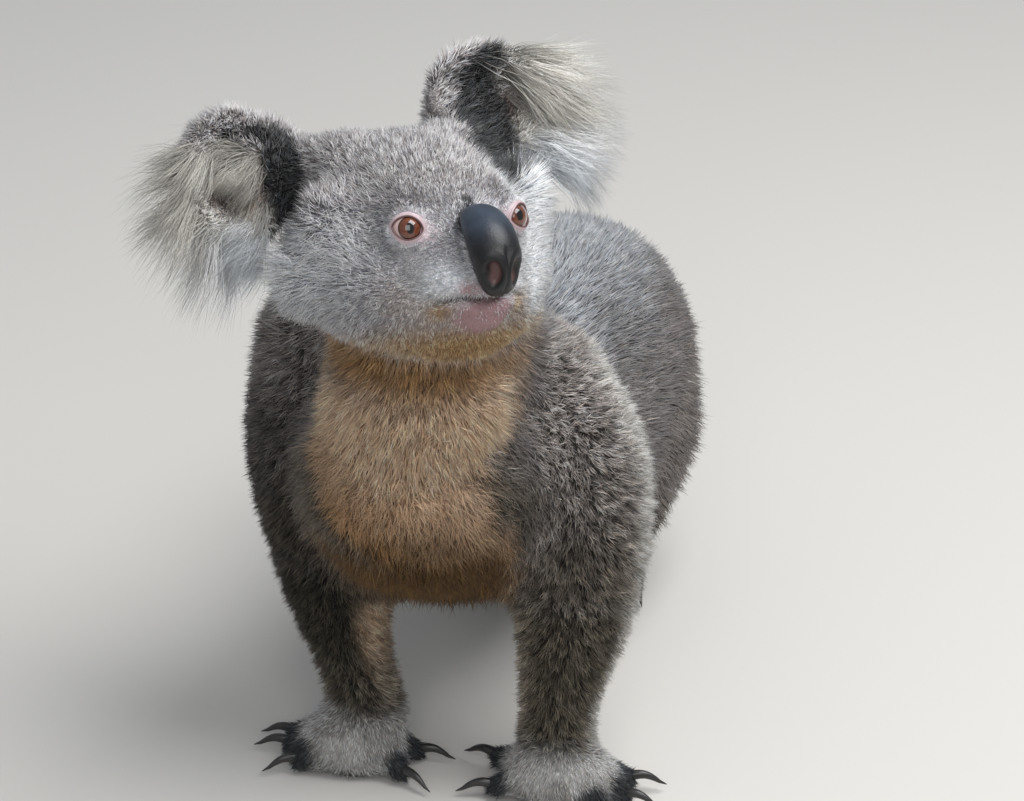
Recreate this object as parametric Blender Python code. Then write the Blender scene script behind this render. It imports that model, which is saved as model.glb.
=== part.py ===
"""A koala standing on all fours with its head lifted and turned to its left: a still, life-size model.

Metres, +Z up. The koala faces -Y and its left side is +X. The origin is on the floor, under the middle of
its bounding box. The flesh is one blended form that thin cuts part into the body's pieces, and the outer
surface stands at the tips of the coat.
"""

import math

import bpy
import numpy as np
from mathutils import Matrix, Vector
from mathutils.bvhtree import BVHTree

# ---- sizes, in metres ------------------------------------------------------------------------------
GAP = 0.0003  # free space between neighbouring pieces
HEAD_SCALE = 0.903  # the head's own millimetres are those of a large adult; this animal is smaller
HEAD_CENTRE = Vector((-0.0147, -0.0102, 0.3668))
HEAD_YAW, HEAD_PITCH, HEAD_ROLL = math.radians(47.4), math.radians(22.8), math.radians(-7.4)

EYE_RADIUS = 0.0098
EYE_PLACE = (35.9, -47.1, 13.4)  # the left eye's centre, in the head's millimetres
CLAW_LENGTH = 0.021
CLAW_RADIUS = 0.0029
HIND_FOOT_Y = 0.284  # the middle of the hind soles, behind the line of the hands
HIND_FOOT_X = {"left": 0.028, "right": -0.057}
DIGIT_ARCH = 0.010  # how far a digit's knuckle rises above its pad
VOXEL = 0.0034  # grain of the blended form before it is thinned out
FLESH_TRIANGLES = 3300
SIDES = {"left": 1, "right": -1}

FUR = {"grey": (0.30, 0.28, 0.27), "pale": (0.62, 0.58, 0.52)}
KERATIN = (0.02, 0.018, 0.018)
NOSE_LEATHER = (0.055, 0.06, 0.07)
IRIS = (0.16, 0.05, 0.02)


# ---- the head's own frame ----------------------------------------------------------------------------
def head_axes():
    """Columns are the head's left, back and up, after it turns left, lifts and rolls about its own nose."""
    forward = Vector((
        math.sin(HEAD_YAW) * math.cos(HEAD_PITCH),
        -math.cos(HEAD_YAW) * math.cos(HEAD_PITCH),
        math.sin(HEAD_PITCH),
    ))
    side = Vector((0, 0, 1)).cross(forward).normalized()
    up = forward.cross(side)
    left = math.cos(HEAD_ROLL) * side + math.sin(HEAD_ROLL) * up
    crown = forward.cross(left)
    return Matrix((left, -forward, crown)).transposed()


HEAD_AXES = head_axes()
HEAD_FRAME = Matrix.Translation(HEAD_CENTRE) @ (HEAD_AXES * (HEAD_SCALE / 1000)).to_4x4()


# ---- small tools for meshes ----------------------------------------------------------------------------
def clear_scene():
    for obj in list(bpy.data.objects):
        bpy.data.objects.remove(obj)


def new_object(name, points, faces):
    mesh = bpy.data.meshes.new(name)
    mesh.from_pydata([tuple(p) for p in points], [], [tuple(f) for f in faces])
    mesh.update()
    obj = bpy.data.objects.new(name, mesh)
    bpy.context.scene.collection.objects.link(obj)
    return obj


def baked(obj, name):
    """A plain copy of an object as its modifiers leave it, in place of the object."""
    graph = bpy.context.evaluated_depsgraph_get()
    mesh = bpy.data.meshes.new_from_object(obj.evaluated_get(graph))
    bpy.data.objects.remove(obj)
    mesh.name = name
    made = bpy.data.objects.new(name, mesh)
    bpy.context.scene.collection.objects.link(made)
    return made


def boolean(obj, other, operation):
    """Applies a Boolean with the other object, and removes the other."""
    modifier = obj.modifiers.new(operation.title(), "BOOLEAN")
    modifier.operation = operation
    modifier.solver = "EXACT"
    modifier.object = other
    made = baked(obj, obj.name)
    bpy.data.objects.remove(other)
    return made


def ring_faces(rings, around, closed_ends=True):
    """Quads between rings of points that follow one another, with a fan-free cap at each end."""
    faces = []
    for ring in range(rings - 1):
        for k in range(around):
            a, b = ring * around + k, ring * around + (k + 1) % around
            faces.append((a, b, b + around, a + around))
    if closed_ends:
        faces.append(tuple(reversed(range(around))))
        faces.append(tuple(range((rings - 1) * around, rings * around)))
    return faces


def smooth_stations(stations, steps):
    """Stations (x, y, z, width, depth) resampled on a Catmull-Rom curve through them."""
    rows = np.array(stations, float)
    padded = np.vstack([2 * rows[0] - rows[1], rows, 2 * rows[-1] - rows[-2]])
    found = []
    for k in range(len(rows) - 1):
        p0, p1, p2, p3 = padded[k : k + 4]
        for t in np.linspace(0, 1, steps, endpoint=False):
            found.append(0.5 * (
                2 * p1 + (p2 - p0) * t + (2 * p0 - 5 * p1 + 4 * p2 - p3) * t**2
                + (3 * p1 - p0 - 3 * p2 + p3) * t**3
            ))
    found.append(rows[-1])
    return np.array(found)


def limb(name, stations, across, around=24, steps=5, bulge=1.0, dome=(20, 45, 70)):
    """A tube through stations (x, y, z, half width, half depth). The width lies along the axis `across`,
    and each end is closed by a dome, as tall as `bulge` times the tube's mean radius there, with a ring at
    each of the angles in `dome`."""
    rows = smooth_stations(stations, steps)
    centres, radii = rows[:, :3], rows[:, 3:]
    along = np.gradient(centres, axis=0)
    along /= np.linalg.norm(along, axis=1)[:, None]
    wide = np.array(across, float) - along * (along @ np.array(across, float))[:, None]
    wide /= np.linalg.norm(wide, axis=1)[:, None]
    deep = np.cross(along, wide)
    shares = np.sin(np.radians(dome))
    start = [(0, -math.sqrt(1 - s * s), s) for s in shares]
    end = [(-1, math.sqrt(1 - s * s), s) for s in shares[::-1]]
    plan = start + [(k, 0.0, 1.0) for k in range(len(rows))] + end
    turn = np.linspace(0, 2 * math.pi, around, endpoint=False)
    points = []
    for k, push, shrink in plan:
        reach = push * bulge * radii[k].mean()
        middle = centres[k] + along[k] * reach
        points += list(
            middle
            + np.outer(np.cos(turn), wide[k]) * radii[k, 0] * shrink
            + np.outer(np.sin(turn), deep[k]) * radii[k, 1] * shrink
        )
    return new_object(name, points, ring_faces(len(plan), around))


def ellipsoid(name, frame, centre, radii, around=28, tilt=(0, 0, 0)):
    """A UV sphere stretched to radii at a centre, both given in a frame, and tilted by angles in degrees."""
    bpy.ops.mesh.primitive_uv_sphere_add(segments=around, ring_count=around // 2, radius=1)
    obj = bpy.context.object
    obj.name = name
    turned = Matrix.Identity(4)
    for angle, axis in zip(tilt, "XYZ"):
        turned = Matrix.Rotation(math.radians(angle), 4, axis) @ turned
    place = frame @ Matrix.Translation(centre) @ turned @ Matrix.Diagonal((*radii, 1))
    obj.data.transform(place)
    return obj


def joined(name, pieces):
    """All the pieces in one object, still separate shells."""
    points, faces = [], []
    for piece in pieces:
        start = len(points)
        points += [tuple(v.co) for v in piece.data.vertices]
        faces += [tuple(start + v for v in f.vertices) for f in piece.data.polygons]
        bpy.data.objects.remove(piece)
    return new_object(name, points, faces)


WORLD = Matrix.Identity(4)

# ---- trunk and neck ----------------------------------------------------------------------------------
# Each station: middle x, y, z, half width, half height of the body there.
TRUNK = (
    (-0.026, -0.060, 0.232, 0.036, 0.034),
    (-0.026, -0.046, 0.228, 0.056, 0.054),
    (-0.026, -0.022, 0.220, 0.071, 0.070),
    (-0.025, 0.012, 0.208, 0.083, 0.083),
    (-0.021, 0.060, 0.193, 0.091, 0.096),
    (-0.014, 0.120, 0.176, 0.097, 0.107),
    (-0.009, 0.180, 0.167, 0.100, 0.115),
    (-0.004, 0.235, 0.162, 0.099, 0.113),
    (-0.002, 0.290, 0.155, 0.091, 0.102),
    (-0.001, 0.335, 0.145, 0.073, 0.080),
    (-0.001, 0.365, 0.140, 0.050, 0.056),
    (-0.001, 0.378, 0.138, 0.028, 0.034),
)
NECK = (
    (-0.024, 0.066, 0.238, 0.076, 0.062),
    (-0.022, 0.038, 0.286, 0.071, 0.066),
    (-0.019, 0.010, 0.335, 0.062, 0.060),
)
THROAT = ((-0.020, -0.020, 0.270), (0.062, 0.050, 0.060))
NAPE = ((-0.024, 0.084, 0.268), (0.060, 0.064, 0.041))

# ---- limbs: the koala's left is written, and its right where the stance differs -------------------------
UPPER_ARM_LEFT = (
    (0.036, 0.066, 0.246, 0.046, 0.050),
    (0.059, 0.046, 0.208, 0.052, 0.052),
    (0.069, 0.029, 0.170, 0.048, 0.048),
)
FOREARM_LEFT = (
    (0.069, 0.029, 0.170, 0.048, 0.046),
    (0.067, 0.014, 0.120, 0.041, 0.040),
    (0.062, 0.004, 0.075, 0.031, 0.031),
    (0.060, 0.001, 0.040, 0.027, 0.028),
)
UPPER_ARM_RIGHT = (
    (-0.096, 0.070, 0.263, 0.052, 0.053),
    (-0.101, 0.048, 0.208, 0.051, 0.052),
    (-0.096, 0.034, 0.165, 0.046, 0.048),
)
FOREARM_RIGHT = (
    (-0.096, 0.034, 0.165, 0.045, 0.046),
    (-0.084, 0.022, 0.115, 0.037, 0.040),
    (-0.071, 0.014, 0.072, 0.029, 0.032),
    (-0.060, 0.009, 0.040, 0.027, 0.029),
)


def thigh_stations(side, foot_x):
    return (
        (side * 0.044, 0.268, 0.162, 0.044, 0.068),
        (side * 0.052, 0.260, 0.120, 0.045, 0.072),
        (side * 0.053 + 0.3 * (foot_x - side * 0.053), 0.250, 0.082, 0.038, 0.060),
    )


def shin_stations(side, foot_x):
    return (
        (side * 0.050, 0.246, 0.084, 0.034, 0.050),
        (foot_x + side * 0.003, 0.282, 0.054, 0.029, 0.040),
        (foot_x, 0.307, 0.030, 0.024, 0.027),
    )


# ---- paws ----------------------------------------------------------------------------------------------
# Each digit: where it leaves the palm, where its pad ends, and how thick it is, seen from above.
HANDS = {
    "left": {
        "wrist": (0.064, 0.002, 0.046),
        "palm": ((0.065, -0.003, 0.020), (0.036, 0.029, 0.025)),
        "digits": {
            "1": ((0.046, 0.010), (0.019, 0.018), 0.0110),
            "2": ((0.046, -0.008), (0.026, -0.013), 0.0110),
            "3": ((0.074, -0.013), (0.090, -0.024), 0.0124),
            "4": ((0.080, -0.002), (0.103, -0.004), 0.0126),
            "5": ((0.080, 0.010), (0.102, 0.015), 0.0118),
        },
    },
    "right": {
        "wrist": (-0.065, 0.008, 0.046),
        "palm": ((-0.070, 0.001, 0.019), (0.036, 0.028, 0.024)),
        "digits": {
            "1": ((-0.052, 0.010), (-0.031, 0.012), 0.0108),
            "2": ((-0.052, -0.004), (-0.034, -0.013), 0.0108),
            "3": ((-0.082, -0.009), (-0.097, -0.018), 0.0120),
            "4": ((-0.086, 0.000), (-0.108, -0.002), 0.0120),
            "5": ((-0.086, 0.010), (-0.109, 0.011), 0.0112),
        },
    },
}


def foot_plan(foot_x, side):
    """The hind foot: a long sole with four clawed toes in front and a clawless big toe inside."""
    y = HIND_FOOT_Y
    return {
        "sole": ((foot_x, y, 0.017), (0.026, 0.046, 0.019)),
        "digits": {
            "2": ((foot_x - side * 0.008, y - 0.030), (foot_x - side * 0.010, y - 0.060), 0.0092),
            "3": ((foot_x + side * 0.003, y - 0.032), (foot_x + side * 0.005, y - 0.065), 0.0098),
            "4": ((foot_x + side * 0.011, y - 0.028), (foot_x + side * 0.018, y - 0.058), 0.0108),
            "5": ((foot_x + side * 0.016, y - 0.016), (foot_x + side * 0.027, y - 0.042), 0.0108),
        },
        "big_toe": ((foot_x - side * 0.016, y - 0.012), (foot_x - side * 0.030, y - 0.034), 0.0105),
    }


FEET = {side: foot_plan(HIND_FOOT_X[side], sign) for side, sign in SIDES.items()}


def digit(name, root, tip, thick):
    """A short finger that arches from the palm to its pad on the floor."""
    root, tip = np.array(root), np.array(tip)
    middle = (root + tip) / 2
    stations = (
        (*root, thick * 1.25, thick * 1.10, thick * 1.15),
        (*middle, thick * 1.0 + DIGIT_ARCH * 0.35, thick * 1.02, thick * 1.0),
        (*tip, thick * 0.74, thick * 0.86, thick * 0.80),
    )
    rows = [(x, y, z, w, d) for x, y, z, w, d in stations]
    side = np.cross((*(tip - root), 0.0), (0, 0, 1))
    return limb(name, rows, side / np.linalg.norm(side), around=14, steps=3)


def claw(name, root, tip, thick, grow=0.0):
    """A curved horn that leaves a digit's end, arches and comes down to a point just above the floor.
    `grow` thickens it all round, which makes the socket that the paw leaves for it."""
    start, ahead = np.array((*tip, 0.0)), np.array((*tip, 0.0)) - np.array((*root, 0.0))
    ahead /= np.linalg.norm(ahead)
    stations = []
    for t in (0.0, 0.34, 0.68, 1.0):
        reach = thick * 0.30 + (CLAW_LENGTH + grow) * t
        height = thick * 1.02 + 0.0030 * math.sin(math.pi * min(1, t * 1.25)) - 0.0078 * t**1.7
        radius = CLAW_RADIUS * (1 - 0.86 * t**1.35) + grow
        middle = start + ahead * (reach - grow) + np.array((0, 0, height))
        stations.append((*middle, radius * 0.82, radius * 1.12))
    side = np.cross(ahead, (0, 0, 1))
    return limb(name, stations, side, around=7, steps=1, dome=())


# ---- head ------------------------------------------------------------------------------------------------
# Blended masses in the head's millimetres: centre, radii, tilt. Those with x over 0 come in pairs.
HEAD_MASSES = {
    "cranium": ((0, 14, 18), (71, 64, 63), (0, 0, 0)),
    "ear_ridge": ((36, 28, 60), (30, 28, 25), (0, 0, 0)),
    "temple": ((74, 4, 24), (20, 24, 26), (0, 0, 0)),
    "ruff": ((72, 22, -12), (30, 26, 32), (0, 0, 0)),
    "nape": ((0, 36, -14), (64, 46, 56), (0, 0, 0)),
    "cheek": ((40, -4, -24), (43, 46, 41), (0, 0, 0)),
    "jowl": ((30, -22, -38), (34, 38, 30), (0, 0, 0)),
    "face": ((0, -36, -4), (50, 34, 42), (0, 0, 0)),
    "brow": ((25, -30, 24), (27, 24, 24), (0, 0, 0)),
    "muzzle": ((0, -56, -25), (34, 28, 26), (0, 0, 0)),
    "bridge": ((0, -46, 10), (24, 24, 30), (0, 0, 0)),
    "chin": ((0, -54, -45), (24, 22, 15), (0, 0, 0)),
    "throat": ((0, -14, -50), (52, 44, 32), (0, 0, 0)),
}
NOSE_MIDDLE = (0, -79.5, -2.5)
NOSE_HALF = (17.4, 20.5, 29)
NOSE_TILT = -23  # degrees: the pad's foot lies further forward than its top


def nose_pad(name, grow=0.0):
    """The leathery pad: an egg, a little broader above, that stands out of the muzzle. `grow` is in metres."""
    extra = grow * 1000 / HEAD_SCALE
    obj = ellipsoid(name, WORLD, (0, 0, 0), (1, 1, 1), around=18)
    for vertex in obj.data.vertices:
        x, y, z = vertex.co
        broad = 1.0 + 0.06 * z - 0.10 * z**2
        vertex.co = (
            x * (NOSE_HALF[0] * broad + extra),
            y * (NOSE_HALF[1] * (1 - 0.10 * z) + extra),
            z * (NOSE_HALF[2] + extra),
        )
    tilt = Matrix.Rotation(math.radians(NOSE_TILT), 4, "X")
    obj.data.transform(HEAD_FRAME @ Matrix.Translation(NOSE_MIDDLE) @ tilt)
    return obj


def ear_frame(side, centre, spread, droop, lean):
    """An ear's frame in the head's: x outwards, y backwards and z up, turned about z, then y, then x."""
    turned = (
        Matrix.Rotation(math.radians(side * spread), 4, "Z")
        @ Matrix.Rotation(math.radians(side * droop), 4, "Y")
        @ Matrix.Rotation(math.radians(lean), 4, "X")
    )
    return HEAD_FRAME @ Matrix.Translation((side * centre[0], centre[1], centre[2])) @ turned


# Each ear's place, its turn, and the centre and radii of its three masses, in the head's millimetres.
EARS = {
    "left": {
        "frame": ear_frame(1, (84, 48, 74), -12, -18, 0),
        "disc": ((-4, 0, 8), (50, 20, 50)),
        "fringe": ((27, -3, -3), (54, 14, 52)),
        "root": ((-34, 4, -16), (28, 19, 34)),
        "dish": ((10, -28, 0), (33, 21, 29)),
        "shell": ((38, 0, 4), (80, 38, 84)),
    },
    "right": {
        "frame": ear_frame(-1, (102, 48, 44), -10, 14, 0),
        "disc": ((-2, 0, 5), (46, 20, 50)),
        "fringe": ((27, -3, -15), (60, 14, 55)),
        "root": ((-38, 4, 6), (30, 22, 42)),
        "dish": ((8, -28, 0), (31, 21, 33)),
        "shell": ((43, 0, 4), (85, 38, 92)),
    },
}


def ear_mass(side, label):
    """One of an ear's masses: its thick disc, its hanging fringe, the root on the head or the hollow."""
    plan = EARS[side]
    (x, y, z), radii = plan[label]
    return ellipsoid(f"{label}_{side}", plan["frame"], (SIDES[side] * x, y, z), radii)


# ---- the blended flesh -----------------------------------------------------------------------------------
def flesh_masses():
    masses = [
        limb("trunk", TRUNK, (1, 0, 0), around=36, bulge=0.35),
        limb("neck", NECK, (1, 0, 0), around=32, bulge=0.6),
        ellipsoid("throat", WORLD, *THROAT),
        ellipsoid("nape", WORLD, *NAPE),
    ]
    masses += [
        limb("upper_arm_left", UPPER_ARM_LEFT, (1, 0, 0)),
        limb("forearm_left", FOREARM_LEFT, (1, 0, 0)),
        limb("upper_arm_right", UPPER_ARM_RIGHT, (1, 0, 0)),
        limb("forearm_right", FOREARM_RIGHT, (1, 0, 0)),
    ]
    for side, sign in SIDES.items():
        hand, foot = HANDS[side], FEET[side]
        foot_x = foot["sole"][0][0]
        masses.append(limb(f"thigh_{side}", thigh_stations(sign, foot_x), (1, 0, 0), bulge=0.4))
        masses.append(limb(f"shin_{side}", shin_stations(sign, foot_x), (1, 0, 0), bulge=0.8))
        masses.append(ellipsoid(f"palm_{side}", WORLD, *hand["palm"]))
        masses.append(ellipsoid(f"sole_{side}", WORLD, *foot["sole"]))
        for paw in (hand, foot):
            for label, plan in paw["digits"].items():
                masses.append(digit(f"digit_{label}", *plan))
        masses.append(digit(f"big_toe_{side}", *foot["big_toe"]))
        masses += [ear_mass(side, label) for label in ("disc", "fringe", "root")]
    for label, (centre, radii, tilt) in HEAD_MASSES.items():
        for sign in (1, -1) if centre[0] else (1,):
            place = (sign * centre[0], centre[1], centre[2])
            masses.append(ellipsoid(label, HEAD_FRAME, place, radii, tilt=tilt))
    return masses


def fine_share(point):
    """How much of the blending a point takes: less on the paws, the muzzle and the ears, which are small."""
    paw = min(1.0, max(0.25, (point.z - 0.012) / 0.05))
    local = HEAD_FRAME.inverted() @ point
    face = min(1.0, max(0.35, (local.y + 95) / 60))
    near_head = local.length < 115
    return min(paw, face if near_head else 1.0)


def blended_flesh():
    """Every mass as one closed skin: voxels join them, smoothing blends them, and the surplus is thinned out."""
    obj = joined("flesh", flesh_masses())
    remesh = obj.modifiers.new("Remesh", "REMESH")
    remesh.mode = "VOXEL"
    remesh.voxel_size = VOXEL
    obj = baked(obj, "flesh")
    group = obj.vertex_groups.new(name="blend")
    for vertex in obj.data.vertices:
        group.add([vertex.index], fine_share(vertex.co), "REPLACE")
    smooth = obj.modifiers.new("Smooth", "SMOOTH")
    smooth.factor, smooth.iterations, smooth.vertex_group = 0.6, 22, "blend"
    obj = baked(obj, "flesh")
    for side in SIDES:
        obj = boolean(obj, ear_mass(side, "dish"), "DIFFERENCE")
    keep = obj.modifiers.new("Thin", "DECIMATE")
    triangles = sum(len(p.vertices) - 2 for p in obj.data.polygons)
    keep.ratio = FLESH_TRIANGLES / triangles
    keep.use_collapse_triangulate = True
    obj = baked(obj, "flesh")
    floor = new_box("floor", (0, 0.12, -0.05), (0.6, 0.9, 0.1))
    return boolean(obj, floor, "DIFFERENCE")


def new_box(name, centre, size):
    bpy.ops.mesh.primitive_cube_add(size=1)
    obj = bpy.context.object
    obj.name = name
    obj.data.transform(Matrix.Translation(centre) @ Matrix.Diagonal((*size, 1)))
    return obj


# ---- the cuts that part the flesh --------------------------------------------------------------------------
def cut_disc(name, centre, normal, radius):
    """A disc as thin as the gap, whose face looks along the normal."""
    bpy.ops.mesh.primitive_cylinder_add(vertices=32, radius=radius, depth=GAP)
    obj = bpy.context.object
    obj.name = name
    turn = Vector((0, 0, 1)).rotation_difference(Vector(normal).normalized()).to_matrix().to_4x4()
    obj.data.transform(Matrix.Translation(centre) @ turn)
    return obj


def keg(name, centre, radii, around=16):
    """An upright keg: wide down to its foot below the middle, and rounded like an egg above it."""
    points, levels = [], (-0.97, -0.75, 0.0, 0.35, 0.65, 0.86, 0.97)
    turn = np.linspace(0, 2 * math.pi, around, endpoint=False)
    for level in levels:
        power = 6 if level < 0 else 2.3
        wide = (1 - abs(level) ** power) ** (1 / power)
        x, y = centre[0] + wide * radii[0] * np.cos(turn), centre[1] + wide * radii[1] * np.sin(turn)
        points += list(zip(x, y, np.full(around, centre[2] + level * radii[2])))
    return new_object(name, points, ring_faces(len(levels), around))


def cut_keg(name, centre, radii):
    """A hollow keg with a wall as thin as the gap: what lies inside it comes away as one piece."""
    outer = keg(name, centre, radii)
    inner = keg(f"{name}_inner", centre, tuple(r - GAP for r in radii))
    inner.data.flip_normals()
    return joined(name, [outer, inner])


def head_point(x, y, z):
    return HEAD_FRAME @ Vector((x, y, z))


def ear_cut(name, side):
    """A hollow egg round the ear, with a wall as thin as the gap, that meets the head at the ear's root."""
    plan = EARS[side]
    (x, y, z), radii = plan["shell"]
    thin = GAP * 1000 / HEAD_SCALE
    outer = ellipsoid(name, plan["frame"], (SIDES[side] * x, y, z), radii, around=20)
    inner = ellipsoid(name, plan["frame"], (SIDES[side] * x, y, z), tuple(r - thin for r in radii), around=20)
    inner.data.flip_normals()
    return joined(name, [outer, inner])


def wrist_cut(side):
    return Vector(HANDS[side]["wrist"]) - Vector((0, 0, 0.004)), (0, -0.10, -1), 0.060


def elbow_cut(side):
    return (SIDES[side] * 0.078 - 0.014, 0.030, 0.134), (0, -0.25, -1), 0.090


def ankle_cut(side):
    return (FEET[side]["sole"][0][0], HIND_FOOT_Y - 0.008, 0.036), (0, -0.12, -1), 0.068


def knee_cut(side):
    return (FEET[side]["sole"][0][0] + SIDES[side] * 0.010, 0.258, 0.078), (0, 0.20, -1), 0.100


NAPE_CUT = (head_point(0, 14, -58), HEAD_AXES @ Vector((0, 0.36, -1)), 0.200)
COLLAR_CUT = ((-0.024, 0.030, 0.274), (0.0, -0.34, 0.94), 0.200)
ARMS = {
    "left": UPPER_ARM_LEFT[:2] + FOREARM_LEFT,
    "right": UPPER_ARM_RIGHT[:2] + FOREARM_RIGHT,
}
ARM_SPARE = 0.0045  # how far the cut round an arm stands off the arm's own tube


def arm_cut(name, side):
    """A hollow tube round the whole arm, down past the wrist, with a wall as thin as the gap."""
    tubes = []
    for grow in (ARM_SPARE, ARM_SPARE - GAP):
        stations = [(x, y, z, w + grow, d + grow) for x, y, z, w, d in ARMS[side]]
        x, y, z, w, d = stations[-1]
        stations.append((x, y, z - 0.02, w, d))
        tubes.append(limb(name, stations, (1, 0, 0), around=16, steps=1, dome=(30, 65)))
    tubes[1].data.flip_normals()
    return joined(name, tubes)


LEG_KEGS = {
    "left": ((0.062, 0.262, 0.100), (0.066, 0.088, 0.100)),
    "right": ((-0.078, 0.262, 0.100), (0.058, 0.088, 0.100)),
}

# A point well inside each piece, by which the loose piece is known and named.
INSIDE = {
    "head": HEAD_CENTRE,
    "neck": Vector((-0.022, 0.034, 0.300)),
    "trunk": Vector((-0.010, 0.150, 0.170)),
    "ear_left": EARS["left"]["frame"] @ Vector((-14, 4, 4)),
    "ear_right": EARS["right"]["frame"] @ Vector((14, 4, 4)),
    "upper_arm_left": Vector((0.076, 0.044, 0.200)),
    "upper_arm_right": Vector((-0.108, 0.046, 0.200)),
    "forearm_left": Vector((0.072, 0.012, 0.100)),
    "forearm_right": Vector((-0.084, 0.018, 0.096)),
    "hand_left": Vector((0.062, -0.003, 0.020)),
    "hand_right": Vector((-0.072, 0.002, 0.020)),
    "thigh_left": Vector((0.070, 0.260, 0.120)),
    "thigh_right": Vector((-0.076, 0.260, 0.120)),
    "foot_left": Vector((FEET["left"]["sole"][0][0], HIND_FOOT_Y, 0.016)),
    "foot_right": Vector((FEET["right"]["sole"][0][0], HIND_FOOT_Y, 0.016)),
    "shin_left": Vector((FEET["left"]["sole"][0][0], HIND_FOOT_Y, 0.050)),
    "shin_right": Vector((FEET["right"]["sole"][0][0], HIND_FOOT_Y, 0.050)),
}


def holds(obj, point):
    """Whether a point lies inside a closed object: a ray from it leaves through an odd count of faces."""
    tree = BVHTree.FromObject(obj, bpy.context.evaluated_depsgraph_get())
    heading = Vector((0.31, 0.22, 0.92)).normalized()
    crossings, start = 0, Vector(point)
    while True:
        hit, _, _, _ = tree.ray_cast(start, heading)
        if hit is None:
            return crossings % 2 == 1
        crossings, start = crossings + 1, hit + heading * 1e-6


def volume_of(obj):
    """The volume a closed mesh encloses, by the divergence theorem."""
    mesh = obj.data
    mesh.calc_loop_triangles()
    points = np.array([v.co[:] for v in mesh.vertices])
    corners = points[np.array([t.vertices[:] for t in mesh.loop_triangles])]
    return float(np.einsum("ij,ij->i", corners[:, 0], np.cross(corners[:, 1], corners[:, 2])).sum() / 6)


def severed(obj, cutter, names):
    """Subtracts a thin cutter and returns the loose pieces that hold the named points; crumbs are dropped."""
    obj = boolean(obj, cutter, "DIFFERENCE")
    bpy.ops.object.select_all(action="DESELECT")
    obj.select_set(True)
    bpy.context.view_layer.objects.active = obj
    bpy.ops.mesh.separate(type="LOOSE")
    loose = list(bpy.context.selected_objects)
    found = []
    for name in names:
        piece = next(p for p in loose if holds(p, INSIDE[name]))
        loose.remove(piece)
        piece.name = name
        found.append(piece)
    for piece in loose:
        bpy.data.objects.remove(piece)
    return found


def parted(core):
    """The flesh taken apart piece by piece: ears, arms and legs first, then the head and the neck."""
    found = {}
    for side in SIDES:
        ear, arm, fore, hand = f"ear_{side}", f"upper_arm_{side}", f"forearm_{side}", f"hand_{side}"
        thigh, shin, foot = f"thigh_{side}", f"shin_{side}", f"foot_{side}"
        found[ear], core = severed(core, ear_cut("cut", side), (ear, "trunk"))
        found[hand], core = severed(core, cut_disc("cut", *wrist_cut(side)), (hand, "trunk"))
        limb_piece, core = severed(core, arm_cut("cut", side), (arm, "trunk"))
        found[arm], found[fore] = severed(limb_piece, cut_disc("cut", *elbow_cut(side)), (arm, fore))
        found[foot], core = severed(core, cut_disc("cut", *ankle_cut(side)), (foot, "trunk"))
        limb_piece, core = severed(core, cut_keg("cut", *LEG_KEGS[side]), (thigh, "trunk"))
        found[thigh], found[shin] = severed(limb_piece, cut_disc("cut", *knee_cut(side)), (thigh, shin))
    found["head"], core = severed(core, cut_disc("cut", *NAPE_CUT), ("head", "trunk"))
    found["neck"], found["trunk"] = severed(core, cut_disc("cut", *COLLAR_CUT), ("neck", "trunk"))
    for piece in found.values():
        piece.name = "waiting"
    for name, piece in found.items():
        piece.name = name
    return found


# ---- eyes, nose and claws --------------------------------------------------------------------------------
def eye(name, side, grow=0.0):
    x, y, z = EYE_PLACE
    reach = (EYE_RADIUS + grow) * 1000 / HEAD_SCALE
    return ellipsoid(name, HEAD_FRAME, (side * x, y, z), (reach, reach, reach), around=14)


def fitted(pieces):
    """The eyes, the nose and the claws, each in a socket that its piece of flesh leaves for it."""
    made = []
    for side, sign in SIDES.items():
        pieces["head"] = boolean(pieces["head"], eye("socket", sign, GAP), "DIFFERENCE")
        made.append(eye(f"eye_{side}", sign))
        for paw, name in ((HANDS[side], f"hand_{side}"), (FEET[side], f"foot_{side}")):
            for label, plan in paw["digits"].items():
                pieces[name] = boolean(pieces[name], claw("socket", *plan, grow=GAP), "DIFFERENCE")
                made.append(claw(f"claw_{name}_{label}", *plan))
    pieces["head"] = boolean(pieces["head"], nose_pad("socket", GAP), "DIFFERENCE")
    made.append(nose_pad("nose"))
    return made


# ---- materials -------------------------------------------------------------------------------------------
def principled(name, colour, roughness):
    material = bpy.data.materials.new(name)
    material.use_nodes = True
    shader = material.node_tree.nodes["Principled BSDF"]
    shader.inputs["Base Color"].default_value = (*colour, 1)
    shader.inputs["Roughness"].default_value = roughness
    return material


def finish_for(name):
    """The colour and roughness of a node, by its name."""
    if name.startswith("claw"):
        return KERATIN, 0.35
    if name.startswith("eye"):
        return IRIS, 0.08
    if name == "nose":
        return NOSE_LEATHER, 0.45
    if name.startswith(("hand", "foot")):
        return FUR["pale"], 0.95
    return FUR["grey"], 0.95


def main():
    clear_scene()
    pieces = parted(blended_flesh())
    made = fitted(pieces)
    nodes = list(pieces.values()) + made
    corners = np.array([v.co[:] for obj in nodes for v in obj.data.vertices])
    low, high = corners.min(axis=0), corners.max(axis=0)
    shift = Matrix.Translation((-(low[0] + high[0]) / 2, -(low[1] + high[1]) / 2, 0))
    for obj in nodes:
        obj.data.transform(shift)
        obj.data.name = obj.name
        obj.data.materials.clear()
        colour, roughness = finish_for(obj.name)
        obj.data.materials.append(principled(f"{obj.name}_finish", colour, roughness))
        obj.data.shade_smooth()
        for group in list(obj.vertex_groups):
            obj.vertex_groups.remove(group)


main()
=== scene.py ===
"""The visible koala: one skin under a coat of wool tufts, with fringed ears, eyes, nose, lips and claws."""

import itertools
import math

import bmesh
import bpy
import numpy as np
from mathutils import Matrix, Vector


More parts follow.
